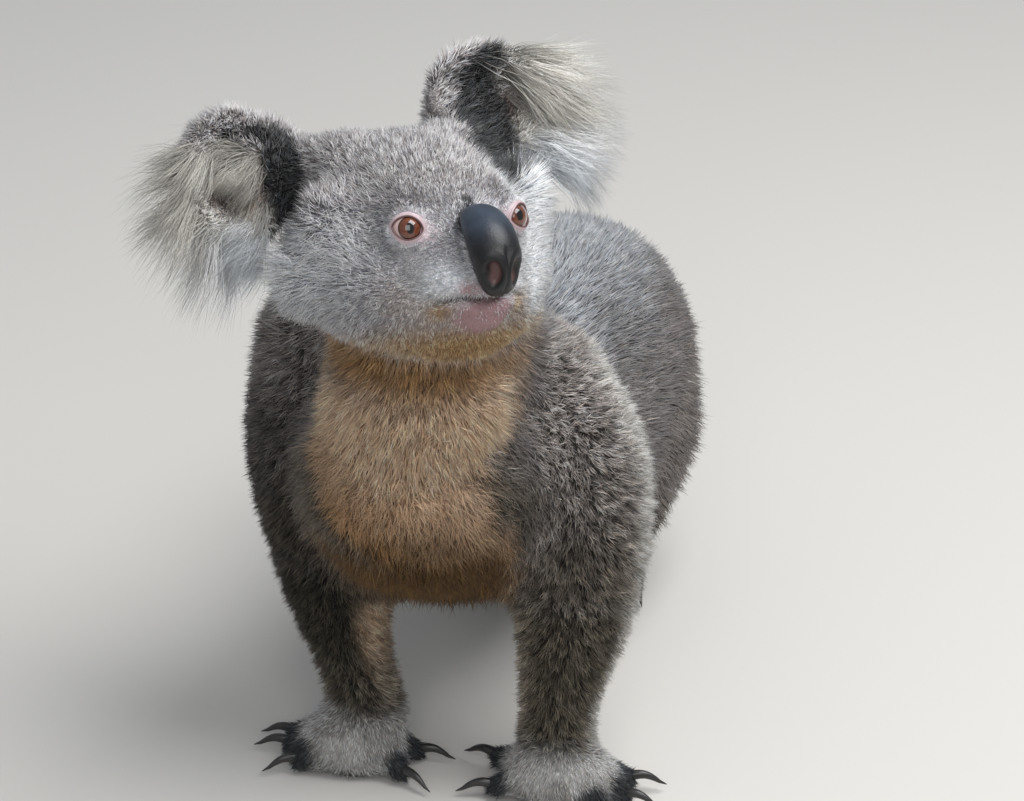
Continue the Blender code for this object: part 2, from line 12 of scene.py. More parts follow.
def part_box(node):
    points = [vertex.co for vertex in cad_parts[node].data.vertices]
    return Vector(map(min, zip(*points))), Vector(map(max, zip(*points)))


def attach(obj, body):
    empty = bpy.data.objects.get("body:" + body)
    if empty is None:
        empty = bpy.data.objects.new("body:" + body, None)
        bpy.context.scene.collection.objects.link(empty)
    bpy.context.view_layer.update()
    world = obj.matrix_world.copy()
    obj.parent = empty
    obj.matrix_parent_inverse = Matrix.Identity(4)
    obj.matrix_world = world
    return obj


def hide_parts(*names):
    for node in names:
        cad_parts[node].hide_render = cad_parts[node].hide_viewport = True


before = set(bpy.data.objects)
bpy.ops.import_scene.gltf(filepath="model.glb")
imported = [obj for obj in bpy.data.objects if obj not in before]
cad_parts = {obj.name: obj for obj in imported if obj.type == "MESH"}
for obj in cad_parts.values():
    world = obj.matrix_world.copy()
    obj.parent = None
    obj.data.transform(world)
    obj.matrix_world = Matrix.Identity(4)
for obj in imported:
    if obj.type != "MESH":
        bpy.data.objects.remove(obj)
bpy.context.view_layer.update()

# ==== The animal's own directions ======================================================================
# The koala faces -Y and stands on four paws. Its head is turned and lifted, so it has a frame of its own
# in millimetres, x to the koala's left, y backwards and z up, found from the eyes and the nose.
SIDES = {"left": 1, "right": -1}
EYE_AT = (35.9, -47.1, 13.4)  # the left eye's middle in the head's frame
NOSE_AT = (0.0, -79.5, -2.5)


def middle_of(node):
    """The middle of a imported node's box."""
    low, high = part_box(node)
    return np.array((low + high) / 2)


eye_gap = middle_of("eye_left") - middle_of("eye_right")
HEAD_MM = np.linalg.norm(eye_gap) / (2 * EYE_AT[0])
between_eyes = (middle_of("eye_left") + middle_of("eye_right")) / 2
head_left = eye_gap / np.linalg.norm(eye_gap)
to_nose = (middle_of("nose") - between_eyes) / HEAD_MM
across = np.cross(head_left, to_nose)
fall, drop = NOSE_AT[1] - EYE_AT[1], NOSE_AT[2] - EYE_AT[2]
head_back = fall * to_nose - drop * across
head_back /= np.linalg.norm(head_back)
HEAD_AXES = np.stack([head_left, head_back, np.cross(head_left, head_back)], axis=1)
HEAD_ZERO = between_eyes - HEAD_AXES @ np.array((0, EYE_AT[1], EYE_AT[2])) * HEAD_MM


def in_head(points):
    """Metres in the world to millimetres in the head's frame."""
    return (points - HEAD_ZERO) @ HEAD_AXES / HEAD_MM


def from_head(points):
    """Millimetres in the head's frame to metres in the world."""
    return HEAD_ZERO + np.asarray(points, float) @ HEAD_AXES.T * HEAD_MM


# ==== The skin =========================================================================================
# One closed skin over the whole animal, from the nose to the soles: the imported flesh, which stands at the
# tips of the coat, drawn in by the depth of the wool, with thin cupped ears and hollows for the eyes.
SKIN_GRAIN = 0.0030  # the side of the cubes that the skin is cut on
FLOOR_GAP = 0.0004  # nothing of the animal lies lower
FINGER_END = 0.0056  # the radius of the flesh round a claw's root
PAIRED = ("upper_arm", "forearm", "hand", "thigh", "shin", "foot")
FLESH = ["head", "neck", "trunk"] + [f"{part}_{side}" for part in PAIRED for side in SIDES]
LABELS = FLESH + ["ear_left", "ear_right"]
COAT_DEPTH = {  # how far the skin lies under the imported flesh, in metres
    "head": 0.0076, "neck": 0.0120, "trunk": 0.0120, "upper_arm": 0.0115, "forearm": 0.0100,
    "hand": 0.0030, "thigh": 0.0120, "shin": 0.0085, "foot": 0.0030, "ear": 0.0,
}
FACE_DEPTH, MUZZLE_DEPTH = 0.0036, 0.0020


def ease(low, high, value):
    """0 below low, 1 above high, and a smooth S between them; low may be the larger."""
    t = np.clip((value - low) / (high - low), 0, 1)
    return t * t * (3 - 2 * t)


def near(points, middle, radii):
    """1 at the middle of an ellipsoid, falling as a bell to about 0.1 at one and a half radii."""
    away = (points - np.array(middle)) / np.array(radii)
    return np.exp(-(away**2).sum(axis=1))


def unit(vectors):
    """Each vector over its own length."""
    return vectors / np.maximum(np.linalg.norm(vectors, axis=-1, keepdims=True), 1e-12)


# The ears stand on frames of their own, in the head's millimetres: o points outwards, y back and z up. Each
# has a round flap, a root that joins it to the head, and a mouth, the open front of its cup.
EARS = {
    "left": {"at": (84, 48, 74), "spread": -12, "droop": -18, "flap": ((-4, 2, 8), (43, 42)),
             "root": ((-34, 5, -16), (26, 15, 31)), "mouth": ((10, 2), (34, 38))},
    "right": {"at": (-102, 48, 44), "spread": -10, "droop": 14, "flap": ((-1, 2, 7), (41, 44)),
              "root": ((-38, 4, 5), (27, 17, 37)), "mouth": ((8, -4), (34, 37))},
}
for side, sign in SIDES.items():
    ear = EARS[side]
    spread = Matrix.Rotation(math.radians(sign * ear["spread"]), 3, "Z")
    droop = Matrix.Rotation(math.radians(sign * ear["droop"]), 3, "Y")
    ear["axes"] = np.array(spread @ droop) @ np.diag((sign, 1, 1))


def in_ear(points, side):
    """Metres in the world to millimetres in an ear's frame."""
    return (in_head(points) - np.array(EARS[side]["at"])) @ EARS[side]["axes"]


def from_ear(points, side):
    """Millimetres in an ear's frame to metres in the world."""
    return from_head(np.asarray(points, float) @ EARS[side]["axes"].T + np.array(EARS[side]["at"]))


def claw_plan(node):
    """A claw's root, its heading in plan and its length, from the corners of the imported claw: the long axis
    of its points seen from above, pointing away from the paw."""
    corners = np.array([v.co[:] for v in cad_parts[node].data.vertices])
    middle = corners[:, :2].mean(axis=0)
    _, axes = np.linalg.eigh(np.cov((corners[:, :2] - middle).T))
    heading = axes[:, 1]
    paw = node[5:-2]
    if heading @ (middle - middle_of(paw)[:2]) < 0:
        heading = -heading
    reach = (corners[:, :2] - middle) @ heading
    rear = corners[reach < reach.min() + 0.001]
    root = np.array((*(middle + heading * reach.min()), (rear[:, 2].min() + rear[:, 2].max()) / 2))
    return root, np.array((*heading, 0.0)), reach.max() - reach.min()


CLAWS = {node: claw_plan(node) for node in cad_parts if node.startswith("claw")}


def grid_faces(rows, columns):
    """Quads between rows of points that close round on themselves."""
    r, c = np.meshgrid(np.arange(rows - 1) * columns, np.arange(columns), indexing="ij")
    after = (c + 1) % columns
    return np.stack([r + c, r + after, r + columns + after, r + columns + c], axis=-1).reshape(-1, 4)


def capped(rings, first, last):
    """Points and faces of rings of equal size closed by a point before the first and after the last."""
    rows, columns, _ = rings.shape
    points = np.concatenate([rings.reshape(-1, 3), [first], [last]])
    k = np.arange(columns)
    after, tail, pole = (k + 1) % columns, (rows - 1) * columns, np.full(columns, rows * columns)
    faces = grid_faces(rows, columns).tolist()
    faces += np.stack([pole, after, k], axis=1).tolist()
    faces += np.stack([pole + 1, tail + k, tail + after], axis=1).tolist()
    return points, faces


def revolved(profile, turns):
    """A closed surface of revolution: a profile of (radius, height) rows from one pole to the other, whose
    first and last rows lie on the axis, turned round in equal steps."""
    profile = np.array(profile, float)
    angle = np.linspace(0, 2 * math.pi, turns, endpoint=False)
    ring = np.stack([np.cos(angle), np.sin(angle)], axis=1)
    inner = profile[1:-1]
    level = np.broadcast_to(inner[:, None, 1:], (len(inner), turns, 1))
    rings = np.concatenate([inner[:, None, :1] * ring, level], axis=2)
    return capped(rings, (0, 0, profile[0, 1]), (0, 0, profile[-1, 1]))


def ball(middle, radii, turns=20):
    """An ellipsoid with its poles on z."""
    tilt = np.linspace(-math.pi / 2, math.pi / 2, turns // 2 + 1)
    points, faces = revolved(np.stack([np.cos(tilt), np.sin(tilt)], axis=1), turns)
    return points * np.array(radii) + np.array(middle), faces


def add_shell(gathered, layer, points, faces, label):
    """Adds one closed shell whose corners all carry a part's number."""
    made = [gathered.verts.new(p) for p in points]
    for vert in made:
        vert[layer] = label
    for face in faces:
        gathered.faces.new([made[k] for k in face])


def gathered_flesh():
    """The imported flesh, eyes and nose with merged corners, rounded finger ends in the claws' sockets, and the
    ears' roots and cups, all in one mesh that remembers which part each corner came from."""
    gathered = bmesh.new()
    layer = gathered.verts.layers.float.new("part")
    for name in FLESH + ["eye_left", "eye_right", "nose"]:
        before = len(gathered.verts)
        gathered.from_mesh(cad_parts[name].data)
        gathered.verts.ensure_lookup_table()
        label = LABELS.index(name) if name in LABELS else 0
        for vert in gathered.verts[before:]:
            vert[layer] = label
    bmesh.ops.remove_doubles(gathered, verts=gathered.verts, dist=1e-5)
    for node, (root, heading, _) in CLAWS.items():
        points, faces = ball(root + heading * 0.0005, (FINGER_END,) * 3, 12)
        add_shell(gathered, layer, points, faces, LABELS.index(node[5:-2]))
    # radius as a share of the flap's, then depth in the head's millimetres: back, rim, and the cup in front
    flap = ((0, 15), (0.35, 14), (0.68, 11), (0.88, 6), (0.98, 0), (1.0, -4), (0.96, -7.5), (0.88, -7),
            (0.76, -2.5), (0.55, 3), (0.3, 6), (0, 7))
    for side, ear in EARS.items():
        label = LABELS.index(f"ear_{side}")
        disc, faces = revolved(flap, 40)
        (o, y, z), (wide, tall) = ear["flap"]
        cup = np.stack([o + disc[:, 0] * wide, y + disc[:, 2], z + disc[:, 1] * tall], axis=1)
        add_shell(gathered, layer, from_ear(cup, side), faces, label)
        points, faces = ball(*ear["root"])
        add_shell(gathered, layer, from_ear(points, side), faces, label)
    bmesh.ops.recalc_face_normals(gathered, faces=gathered.faces)
    mesh = bpy.data.meshes.new("skin_source")
    gathered.to_mesh(mesh)
    gathered.free()
    return mesh


def placed_object(name, mesh):
    """A new object in the scene, at the origin."""
    obj = bpy.data.objects.new(name, mesh)
    bpy.context.scene.collection.objects.link(obj)
    return obj


def remeshed(mesh, size):
    """The outer surface of overlapping shells on a grid of cubes, keeping each corner's part."""
    obj = placed_object("skin", mesh)
    bpy.ops.object.select_all(action="DESELECT")
    obj.select_set(True)
    bpy.context.view_layer.objects.active = obj
    mesh.remesh_voxel_size = size
    mesh.use_remesh_preserve_attributes = True
    mesh.use_remesh_fix_poles = False
    bpy.ops.object.voxel_remesh()
    return obj


def array_of(items, name, kind, width=1):
    """One property of all a mesh's items as an array."""
    found = np.empty(len(items) * width, kind)
    items.foreach_get(name, found)
    return found.reshape(-1, width) if width > 1 else found


def blurred(values, edges, rounds, amount=0.5):
    """Each round moves every value part of the way to the mean of its neighbours along the edges."""
    count = len(values)
    ends = np.concatenate([edges, edges[:, ::-1]])
    share = np.maximum(np.bincount(ends[:, 0], minlength=count), 1)[:, None]
    values = values.copy()
    for _ in range(rounds):
        sums = [np.bincount(ends[:, 0], weights=column[ends[:, 1]], minlength=count) for column in values.T]
        values += amount * (np.stack(sums, axis=1) / share - values)
    return values


def normals_of(mesh, points):
    """Moves a mesh's points and returns the way it faces at each."""
    mesh.vertices.foreach_set("co", points.astype(np.float32).ravel())
    mesh.update()
    return array_of(mesh.vertex_normals, "vector", np.float32, 3).astype(float)


def refined(obj, wanted):
    """Cuts the faces whose corners are all wanted into four."""
    grown = bmesh.new()
    grown.from_mesh(obj.data)
    grown.verts.ensure_lookup_table()
    chosen = [e for e in grown.edges if wanted[e.verts[0].index] and wanted[e.verts[1].index]]
    bmesh.ops.subdivide_edges(grown, edges=chosen, cuts=1, use_grid_fill=True, smooth=0.0)
    bmesh.ops.triangulate(grown, faces=[f for f in grown.faces if len(f.verts) > 4])
    grown.to_mesh(obj.data)
    grown.free()


skin = remeshed(gathered_flesh(), SKIN_GRAIN)
x, y, z = in_head(array_of(skin.data.vertices, "co", np.float32, 3).astype(float)).T
refined(skin, (y < -38) & (np.abs(x) < 60) & (z > -75) & (np.hypot(np.hypot(x, y), z) < 130))
skin_points = array_of(skin.data.vertices, "co", np.float32, 3).astype(float)
skin_edges = array_of(skin.data.edges, "vertices", np.int32, 2)
part = np.round(array_of(skin.data.attributes["part"].data, "value", np.float32)).astype(int)
share = blurred(np.eye(len(LABELS))[np.clip(part, 0, len(LABELS) - 1)], skin_edges, 14)


def part_share(name):
    """How much a skin point belongs to a part, from 0 to 1; a name without a side counts both sides."""
    return share[:, [k for k, label in enumerate(LABELS) if label.startswith(name)]].sum(axis=1)


softer = blurred(skin_points, skin_edges, 9, 0.6)
fingers = (part_share("hand") + part_share("foot"))[:, None]
skin_points = softer * (1 - fingers) + blurred(skin_points, skin_edges, 3, 0.5) * fingers
head_at = in_head(skin_points)
depth = sum(part_share(name) * value for name, value in COAT_DEPTH.items())
front = ease(-18, -52, head_at[:, 1]) * part_share("head")
depth = depth * (1 - front) + FACE_DEPTH * front
muzzle = near(head_at, (0, -72, -28), (26, 22, 22)) * part_share("head")
depth = depth * (1 - muzzle) + MUZZLE_DEPTH * muzzle
depth *= ease(0.0005, 0.009, skin_points[:, 2])
for _ in range(4):
    skin_points -= normals_of(skin.data, skin_points) * (depth / 4)[:, None]
    skin_points = blurred(skin_points, skin_edges, 2, 0.35)
skin_points[:, 2] = np.maximum(skin_points[:, 2], FLOOR_GAP)


# The mouth runs under the nose from cheek to cheek: a crease with a fuller lower lip below it.
def mouth_line(x):
    """The parting of the lips in the head's frame, as (y, z) for each x: it runs back along the muzzle as a
    power of the distance from the middle, and lifts slightly before it turns down at the corners."""
    side = np.abs(x)
    back = -82.0 + 0.0034 * side**2.6
    return back, -33.0 + 2.0 * np.exp(-(((side - 17) / 8) ** 2)) - 0.010 * np.maximum(side - 22, 0) ** 2


def at_the_lips(widest):
    """How much skin points lie on the muzzle's front, up to a width, and their height over the parting."""
    line_y, line_z = mouth_line(np.clip(head_at[:, 0], -32, 32))
    level = ease(line_y + 16, line_y + 6, head_at[:, 1]) * part_share("head")
    return ease(widest, widest - 8, np.abs(head_at[:, 0])) * level, head_at[:, 2] - line_z


head_at = in_head(skin_points)
on_muzzle, over_line = at_the_lips(34)
crease = np.exp(-((over_line / 2.4) ** 2)) * on_muzzle
lip = np.exp(-(((over_line + 6.5) / 4.0) ** 2)) * on_muzzle
skin_points += normals_of(skin.data, skin_points) * ((0.0012 * lip - 0.0034 * crease)[:, None])

# Each eye lies in a socket: over the eyeball the skin sinks inside it, and round the opening it stands over
# the eyeball as a lid does.
EYE_RADIUS = float((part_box("eye_left")[1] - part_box("eye_left")[0]).x / 2)
EYES = {side: middle_of(f"eye_{side}") for side in SIDES}
EYE_FACING, EYE_OUTER, EYE_UPPER = {}, {}, {}
for side, sign in SIDES.items():
    EYE_FACING[side] = unit(HEAD_AXES @ np.array((0.46 * sign, -0.875, 0.09)))
    outer = HEAD_AXES @ np.array((0.72 * sign, 0.68, 0.16))
    EYE_OUTER[side] = unit(outer - (outer @ EYE_FACING[side]) * EYE_FACING[side])
    EYE_UPPER[side] = np.cross(EYE_FACING[side], EYE_OUTER[side]) * sign
OPENING = (math.radians(53), math.radians(38))  # half the width and the height of the opened lids


def round_eye(points, side):
    """Places seen from an eye's middle: the way to them, its length, its angle away from the eye's facing,
    and the angle at which the lids' edge lies in that direction."""
    away = points - EYES[side]
    reach = np.linalg.norm(away, axis=1)
    sight = away / np.maximum(reach, 1e-9)[:, None]
    turn = np.arctan2(sight @ EYE_UPPER[side], sight @ EYE_OUTER[side])
    angle = np.arccos(np.clip(sight @ EYE_FACING[side], -1, 1))
    return away, reach, angle, lid_edge(turn)


# The nose's leather covers a flattened ball, leaning back at its top and bowed forward in the middle.
NOSE_HALF = (15.8, 14.0, 29.0)
NOSE_TILT = math.radians(-25)
NOSE_PLACE = np.array((0.3, -79.6, -2.5))


def under_nose(points):
    """How far out points lie from the nose's middle, 1 being the leather's surface."""
    c, n = math.cos(-NOSE_TILT), math.sin(-NOSE_TILT)
    x, y, z = (in_head(points) - NOSE_PLACE).T
    high = (y * n + z * c) / NOSE_HALF[2]
    blunt = np.maximum(1 - np.minimum(np.abs(high), 0.999) ** 2, 1e-4) ** 0.30
    level = np.hypot(x / NOSE_HALF[0], (y * c - z * n - nose_bow(high)) / NOSE_HALF[1]) / blunt
    return np.maximum(level, np.abs(high))


def nose_bow(high):
    """How far the nose's middle line stands back at each height: it bulges forward as a parabola."""
    return 1.5 - 8.5 * np.maximum(1 - high**2, -1)


def lid_edge(turn):
    """The angle from the eye's facing to the lids' edge: a rounded diamond of power 1.65."""
    power = 1.65
    wide, tall = OPENING
    return (np.abs(np.cos(turn) / wide) ** power + np.abs(np.sin(turn) / tall) ** power) ** (-1 / power)


behind_nose = ease(1.05, 0.85, under_nose(skin_points)) * part_share("head")
skin_points += HEAD_AXES[:, 1] * (0.0060 * behind_nose)[:, None]
for side in SIDES:
    away, reach, angle, edge = round_eye(skin_points, side)
    close = (reach < EYE_RADIUS * 1.75) & (angle < math.radians(112))
    lid_height = EYE_RADIUS + 0.0011 + 0.0010 * ease(edge + 0.2, edge + 0.6, angle)
    domed = lid_height + (np.maximum(reach, lid_height) - lid_height) * ease(1.1, 1.7, angle)
    sunk = EYE_RADIUS * 0.80
    goal = sunk + (domed - sunk) * ease(edge + 0.10, edge + 0.22, angle)
    reach_new = np.where(close, goal + (reach - goal) * ease(1.55, 1.95, angle), reach)
    skin_points = EYES[side] + away * (reach_new / np.maximum(reach, 1e-9))[:, None]
skin_normals = normals_of(skin.data, skin_points)
head_at = in_head(skin_points)

# ==== Markings =========================================================================================
# The same markings serve skin and coat: grey wool with pale tips, cream chest, white cheeks and ears with a
# black band round their mouths, rusty chin, pink bare lips and lids, and dark finger ends. Some of the tints
# are partly painted light and shade, as noted where they are laid.
OUTSIDE = 1000  # cubes are counted from far outside the animal, so that no number is negative


def tossed(cells, seed):
    """A random value from 0 to 1 for each whole-numbered cell, always the same for the same cell."""
    mixed = (cells[:, 0] * 73856093) ^ (cells[:, 1] * 19349663) ^ (cells[:, 2] * 83492791)
    mixed = mixed ^ (seed * 2654435761)
    mixed = ((mixed ^ (mixed >> 13)) * 1274126177) & 0x7FFFFFFF
    mixed = ((mixed ^ (mixed >> 15)) * 2246822519) & 0x7FFFFFFF
    return (mixed ^ (mixed >> 9)) / 0x7FFFFFFF


def grain(points, size, seed=0):
    """Smooth noise from 0 to 1: random values at the corners of cubes `size` wide, blended by an S curve."""
    cell = points / size + OUTSIDE
    base = np.floor(cell).astype(np.int64)
    part = cell - base
    part = part * part * (3 - 2 * part)
    total = np.zeros(len(points))
    for corner in itertools.product((0, 1), repeat=3):
        share = np.prod(np.where(np.array(corner) == 1, part, 1 - part), axis=1)
        total += share * tossed(base + np.array(corner), seed)
    return total


# The back wool is partly painted light from above. The arm, forearm and belly wool is partly painted shade, and
# the hollow wool is partly painted shadow. The rim wool is painted rim light where it lies on the left arm.
WOOL = {
    "grey": ((0.41, 0.375, 0.365), (0.085, 0.077, 0.073)),  # tip, then root
    "back": ((0.72, 0.745, 0.79), (0.23, 0.235, 0.25)),
    "hollow": ((0.27, 0.205, 0.175), (0.13, 0.085, 0.072)),
    "crown": ((0.82, 0.78, 0.79), (0.235, 0.215, 0.215)),
    "face": ((0.92, 0.91, 0.96), (0.36, 0.35, 0.375)),
    "shoulder": ((0.52, 0.47, 0.445), (0.075, 0.066, 0.058)),
    "arm": ((0.25, 0.215, 0.175), (0.020, 0.016, 0.012)),
    "forearm": ((0.19, 0.165, 0.125), (0.016, 0.013, 0.010)),
    "cream": ((0.79, 0.585, 0.42), (0.66, 0.455, 0.30)),
    "throat": ((0.52, 0.31, 0.145), (0.21, 0.108, 0.040)),
    "shaded_belly": ((0.17, 0.093, 0.030), (0.070, 0.036, 0.011)),
    "white": ((0.92, 0.94, 0.97), (0.74, 0.76, 0.79)),
    "rim": ((0.92, 0.89, 0.84), (0.60, 0.57, 0.52)),
    "black": ((0.105, 0.107, 0.110), (0.010, 0.010, 0.011)),
    "rust": ((0.66, 0.43, 0.22), (0.28, 0.165, 0.070)),
    "inner": ((0.52, 0.44, 0.35), (0.15, 0.115, 0.085)),
    "paw": ((0.90, 0.89, 0.87), (0.36, 0.35, 0.335)),
    "finger": ((0.075, 0.080, 0.088), (0.022, 0.024, 0.027)),
}
BARE = {"lip": (0.27, 0.165, 0.170), "lid": (0.48, 0.39, 0.41), "mouth": (0.045, 0.022, 0.018),
        "pad": (0.045, 0.042, 0.042)}


def laid_over(below, above, cover):
    """A marking over another: each of the tip and root tints moves to the new one by the cover."""
    return tuple(b * (1 - cover[:, None]) + np.array(a) * cover[:, None] for b, a in zip(below, above))


# The ears' dark bands, as places across and up and half widths in the head's millimetres, on the plane that
# faces the head three-quarters from its right; and the hollow in their hair, as bells in the ears' frames.
THREE_QUARTER = np.array(((0.867, -0.488, -0.090), (0.102, -0.006, 0.995)))
THREE_QUARTER_FACING = np.array((-0.488, -0.868, 0.091))
BAND = {
    "left": ((45, 127, 5), (39, 119, 8), (29, 106, 12), (30, 93, 17), (34, 80, 17), (41, 68, 15),
             (47, 55, 12), (51, 42, 8)),
    "right": ((-138, 66, 1), (-120, 68, 3), (-102, 67, 5), (-91, 61, 10), (-86, 50, 13), (-85, 40, 14),
              (-84, 30, 13), (-84, 20, 11), (-88, 6, 9)),
}
HOLLOW = {  # out, up, half width, half height
    "left": ((10, 2, 13, 11),),
    "right": ((20, 14, 10, 7), (17, 2, 9, 7), (2, -5, 12, 4), (-15, -6, 9, 5)),
}


def from_band(points, side):
    """How far points lie outside an ear's dark band, negative within it: the distance from its middle line
    less its half width there, which runs evenly from one place to the next."""
    flat = in_head(points) @ THREE_QUARTER.T
    rows = np.array(BAND[side], float)
    nearest = np.full(len(points), np.inf)
    for start, end in zip(rows[:-1], rows[1:]):
        run = (end - start)[:2]
        t = np.clip((flat - start[:2]) @ run / (run @ run), 0, 1)
        away = np.linalg.norm(flat - start[:2] - t[:, None] * run, axis=1)
        nearest = np.minimum(nearest, away - start[2] - t * (end[2] - start[2]))
    return nearest


def ear_zones(points, side):
    """Places in an ear's frame, and how far they lie from the middle of its mouth, 1 being its edge."""
    local = in_ear(points, side)
    (o, z), (wide, tall) = EARS[side]["mouth"]
    away = np.hypot((local[:, 0] - o) / wide, (local[:, 2] - z) / tall)
    return local, away


def valley(local, side):
    """1 in the thinly haired hollow that winds between the streams of an ear's hair: a sum of bells."""
    bells = (near(local, (o, 4, z), (wide, 30, tall)) for o, z, wide, tall in HOLLOW[side])
    return np.clip(sum(bells), 0, 1)


def markings(points, normals, belongs):
    """The tip and root tints of the wool at points of the skin: each marking is laid over those before it."""
    head_at = in_head(points)
    x, y, z = points.T
    hx, hy, hz = head_at.T
    mirrored = np.stack([np.abs(hx), hy, hz], axis=1)
    tint = tuple(np.broadcast_to(np.array(c), (len(points), 3)).copy() for c in WOOL["grey"])

    def lay(name, cover):
        """Lays one wool over the tints so far."""
        nonlocal tint
        tint = laid_over(tint, WOOL[name], cover)

    def dim(amount):
        """Darkens the tints so far by a share."""
        nonlocal tint
        tint = tuple(t * (1 - amount)[:, None] for t in tint)

    # the back is paler where it faces up, partly its own colour and partly painted light from above, with white
    # freckles over the rump; painted shade darkens the folds behind the left shoulder and a patch beside the
    # neck
    trunk, neck = belongs("trunk"), belongs("neck")
    mottle = grain(points, 0.022, 3)
    lay("back", trunk * ease(0.35, 1.0, normals[:, 2] + 0.4 * (mottle - 0.5)))
    lay("crown", neck * ease(-0.1, 0.6, normals[:, 1] + normals[:, 2]) * 0.8)
    lay("white", trunk * ease(0.13, 0.2, y) * ease(0.55, 0.8, mottle) * 0.6)
    lay("shoulder", belongs("upper_arm") + 0.6 * belongs("thigh"))
    # painted shade: the folds behind the left shoulder and a patch beside the neck are darkened
    shoulder_fold_shade = 0.30 * near(points, (0.072, 0.026, 0.250), (0.035, 0.045, 0.035))
    dim(shoulder_fold_shade + 0.28 * near(points, (0.060, -0.085, 0.300), (0.03, 0.03, 0.03)))
    # the limbs darken downwards, partly their own darker wool and partly painted shade; their inner sides are
    # paler, painted shade darkens the right arm, which has a cream strip inside, and the left one has a pale
    # rim behind that is painted rim light
    # partly the arm's own darker wool, partly painted shade low down
    lay("arm", belongs("upper_arm") * ease(0.25, 0.16, z + 0.04 * (mottle - 0.5)))
    lay("forearm", belongs("forearm") + belongs("shin") * 0.8)
    lay("arm", ease(0.14, 0.21, z) * belongs("forearm") * 0.5)
    inner = np.clip(-np.sign(x) * normals[:, 0], 0, 1) * ease(0.02, 0.06, z)
    limb = belongs("upper_arm") + belongs("forearm") + belongs("thigh") + belongs("shin")
    lay("inner", limb * ease(0.45, 0.95, inner) * 0.75)
    right_arm = belongs("upper_arm_right") + belongs("forearm_right")
    # painted shade: the right arm's middle is darkened
    dim(0.62 * right_arm * ease(0.30, 0.22, z) * ease(0.05, 0.10, z))
    inside = ease(0.45, 0.85, normals[:, 0]) * ease(0.23, 0.19, z) * ease(0.06, 0.10, z)
    lay("cream", right_arm * inside * 0.72)
    # painted rim light: pale wool on the back edge of the left arm stands in for light shining through the fur
    behind = normals @ np.array((0.80, 0.60, 0.0)) + 0.3 * (grain(points, 0.012, 9) - 0.5)
    behind = ease(0.30, 0.95, behind) * ease(0.32, 0.24, z) * 0.85
    lay("rim", (belongs("upper_arm_left") + belongs("forearm_left")) * behind)
    # the cream bib narrows and shifts to the left downwards, browner at its lower end and on its shaded side,
    # partly its own colour and partly painted shade, darkened at its foot by painted shade, over a belly whose
    # dark brown is painted shade
    low_front = ease(-0.10, -0.15, y) * (1 - belongs("head"))
    chest = (trunk + neck) * low_front * ease(0.35, -0.1, normals[:, 2] - 0.3)
    bib_middle = np.interp(z, (0.17, 0.19, 0.21, 0.235), (0.021, 0.015, -0.003, -0.013))
    bib_half = np.interp(z, (0.17, 0.19, 0.21, 0.235, 0.27, 0.30), (0.030, 0.036, 0.045, 0.048, 0.058, 0.063))
    across = np.abs(x - bib_middle) + 0.016 * (grain(points, 0.010, 4) - 0.5)
    bib = chest * ease(bib_half + 0.006, bib_half - 0.006, across)
    lay("arm", chest * ease(0.27, 0.23, z))
    lay("cream", bib)
    # partly the chest's own brown, partly painted shade low down and on the shaded side
    lay("throat", bib * ease(0.25, 0.18, z + 0.40 * x) * 0.95)
    # painted shade at the foot of the bib
    dim(0.55 * bib * ease(0.222, 0.175, z))
    groin = (trunk + 0.5 * belongs("thigh")) * ease(-0.30, -0.90, normals[:, 2]) * ease(-0.12, -0.05, y)
    lay("inner", groin * 0.8)
    # painted shade: the underside and the low front are laid with dark brown wool
    under = np.maximum(ease(-0.15, -0.60, normals[:, 2]), ease(0.19, 0.14, z + 0.1 * x) * low_front)
    lay("shaded_belly", trunk * under * ease(-0.05, -0.12, y))
    lay("throat", neck * ease(0.285, 0.31, z) * low_front)
    # the head: a pale face with darker patches between and above the eyes, warmer cheeks, and painted light
    # that brightens the temples and the cheeks where the head's own shape shades them
    head = belongs("head")
    lay("crown", head * ease(20, 55, hz))
    lay("face", head * ease(45, 10, hz) * ease(20, -10, hy))
    darker = near(head_at, (0, -66, 8), (26, 16, 14)) + 0.6 * near(mirrored, (24, -62, 2), (10, 12, 10))
    darker += 0.9 * near(mirrored, (29, -46, 29), (12, 12, 8))
    dim(0.40 * np.clip(darker, 0, 1) * head)
    # painted light: the temples and cheeks are lightened against the shade of the head's own shape
    painted_brightening = 0.5 * near(mirrored, (47, -17, 35), (14, 17, 12))
    painted_brightening += 0.35 * near(mirrored, (76, -4, 0), (22, 26, 20))
    dim(-painted_brightening * head)
    warmer = (head * near(mirrored, (42, -44, -32), (17, 22, 19)))[:, None] * np.array((0.25, 0.34, 0.42))
    tint = tuple(t * (1 - warmer) for t in tint)
    # white beside the nose, on the far cheek, below the right ear and round the eyes
    lay("white", head * np.clip(near(mirrored, (27, -67, -20), (14, 16, 11)) * 1.5, 0, 1) * 0.85)
    far_cheek = ease(35, 45, hx) * ease(-66, -54, hy) * ease(60, 25, hy)
    far_cheek = far_cheek * ease(56, 42, hz) * ease(-75, -50, hz)
    lay("white", head * far_cheek * 0.95)
    lay("white", head * np.clip(near(head_at, (-82, 14, -14), (20, 24, 22)) * 1.4, 0, 1) * 0.8)
    lay("white", head * np.clip(near(mirrored, (37, -52, 12), (13, 9, 8)) * 1.3, 0, 1) * 0.45)
    # rust along the jaw and the lips' corners, and a black crest over the nose
    lay("rust", head * ease(-38, -58, hz) * ease(40, 10, hy) * 0.85)
    rusty = near(mirrored, (27, -64, -38), (9, 14, 7)) + near(mirrored, (10, -52, -62), (26, 24, 10))
    lay("rust", head * np.clip(rusty, 0, 1) * 0.9)
    lay("black", head * ease(1.42, 1.16, under_nose(points)) * ease(0, 16, hz) * ease(-10, -30, hy) * 0.95)
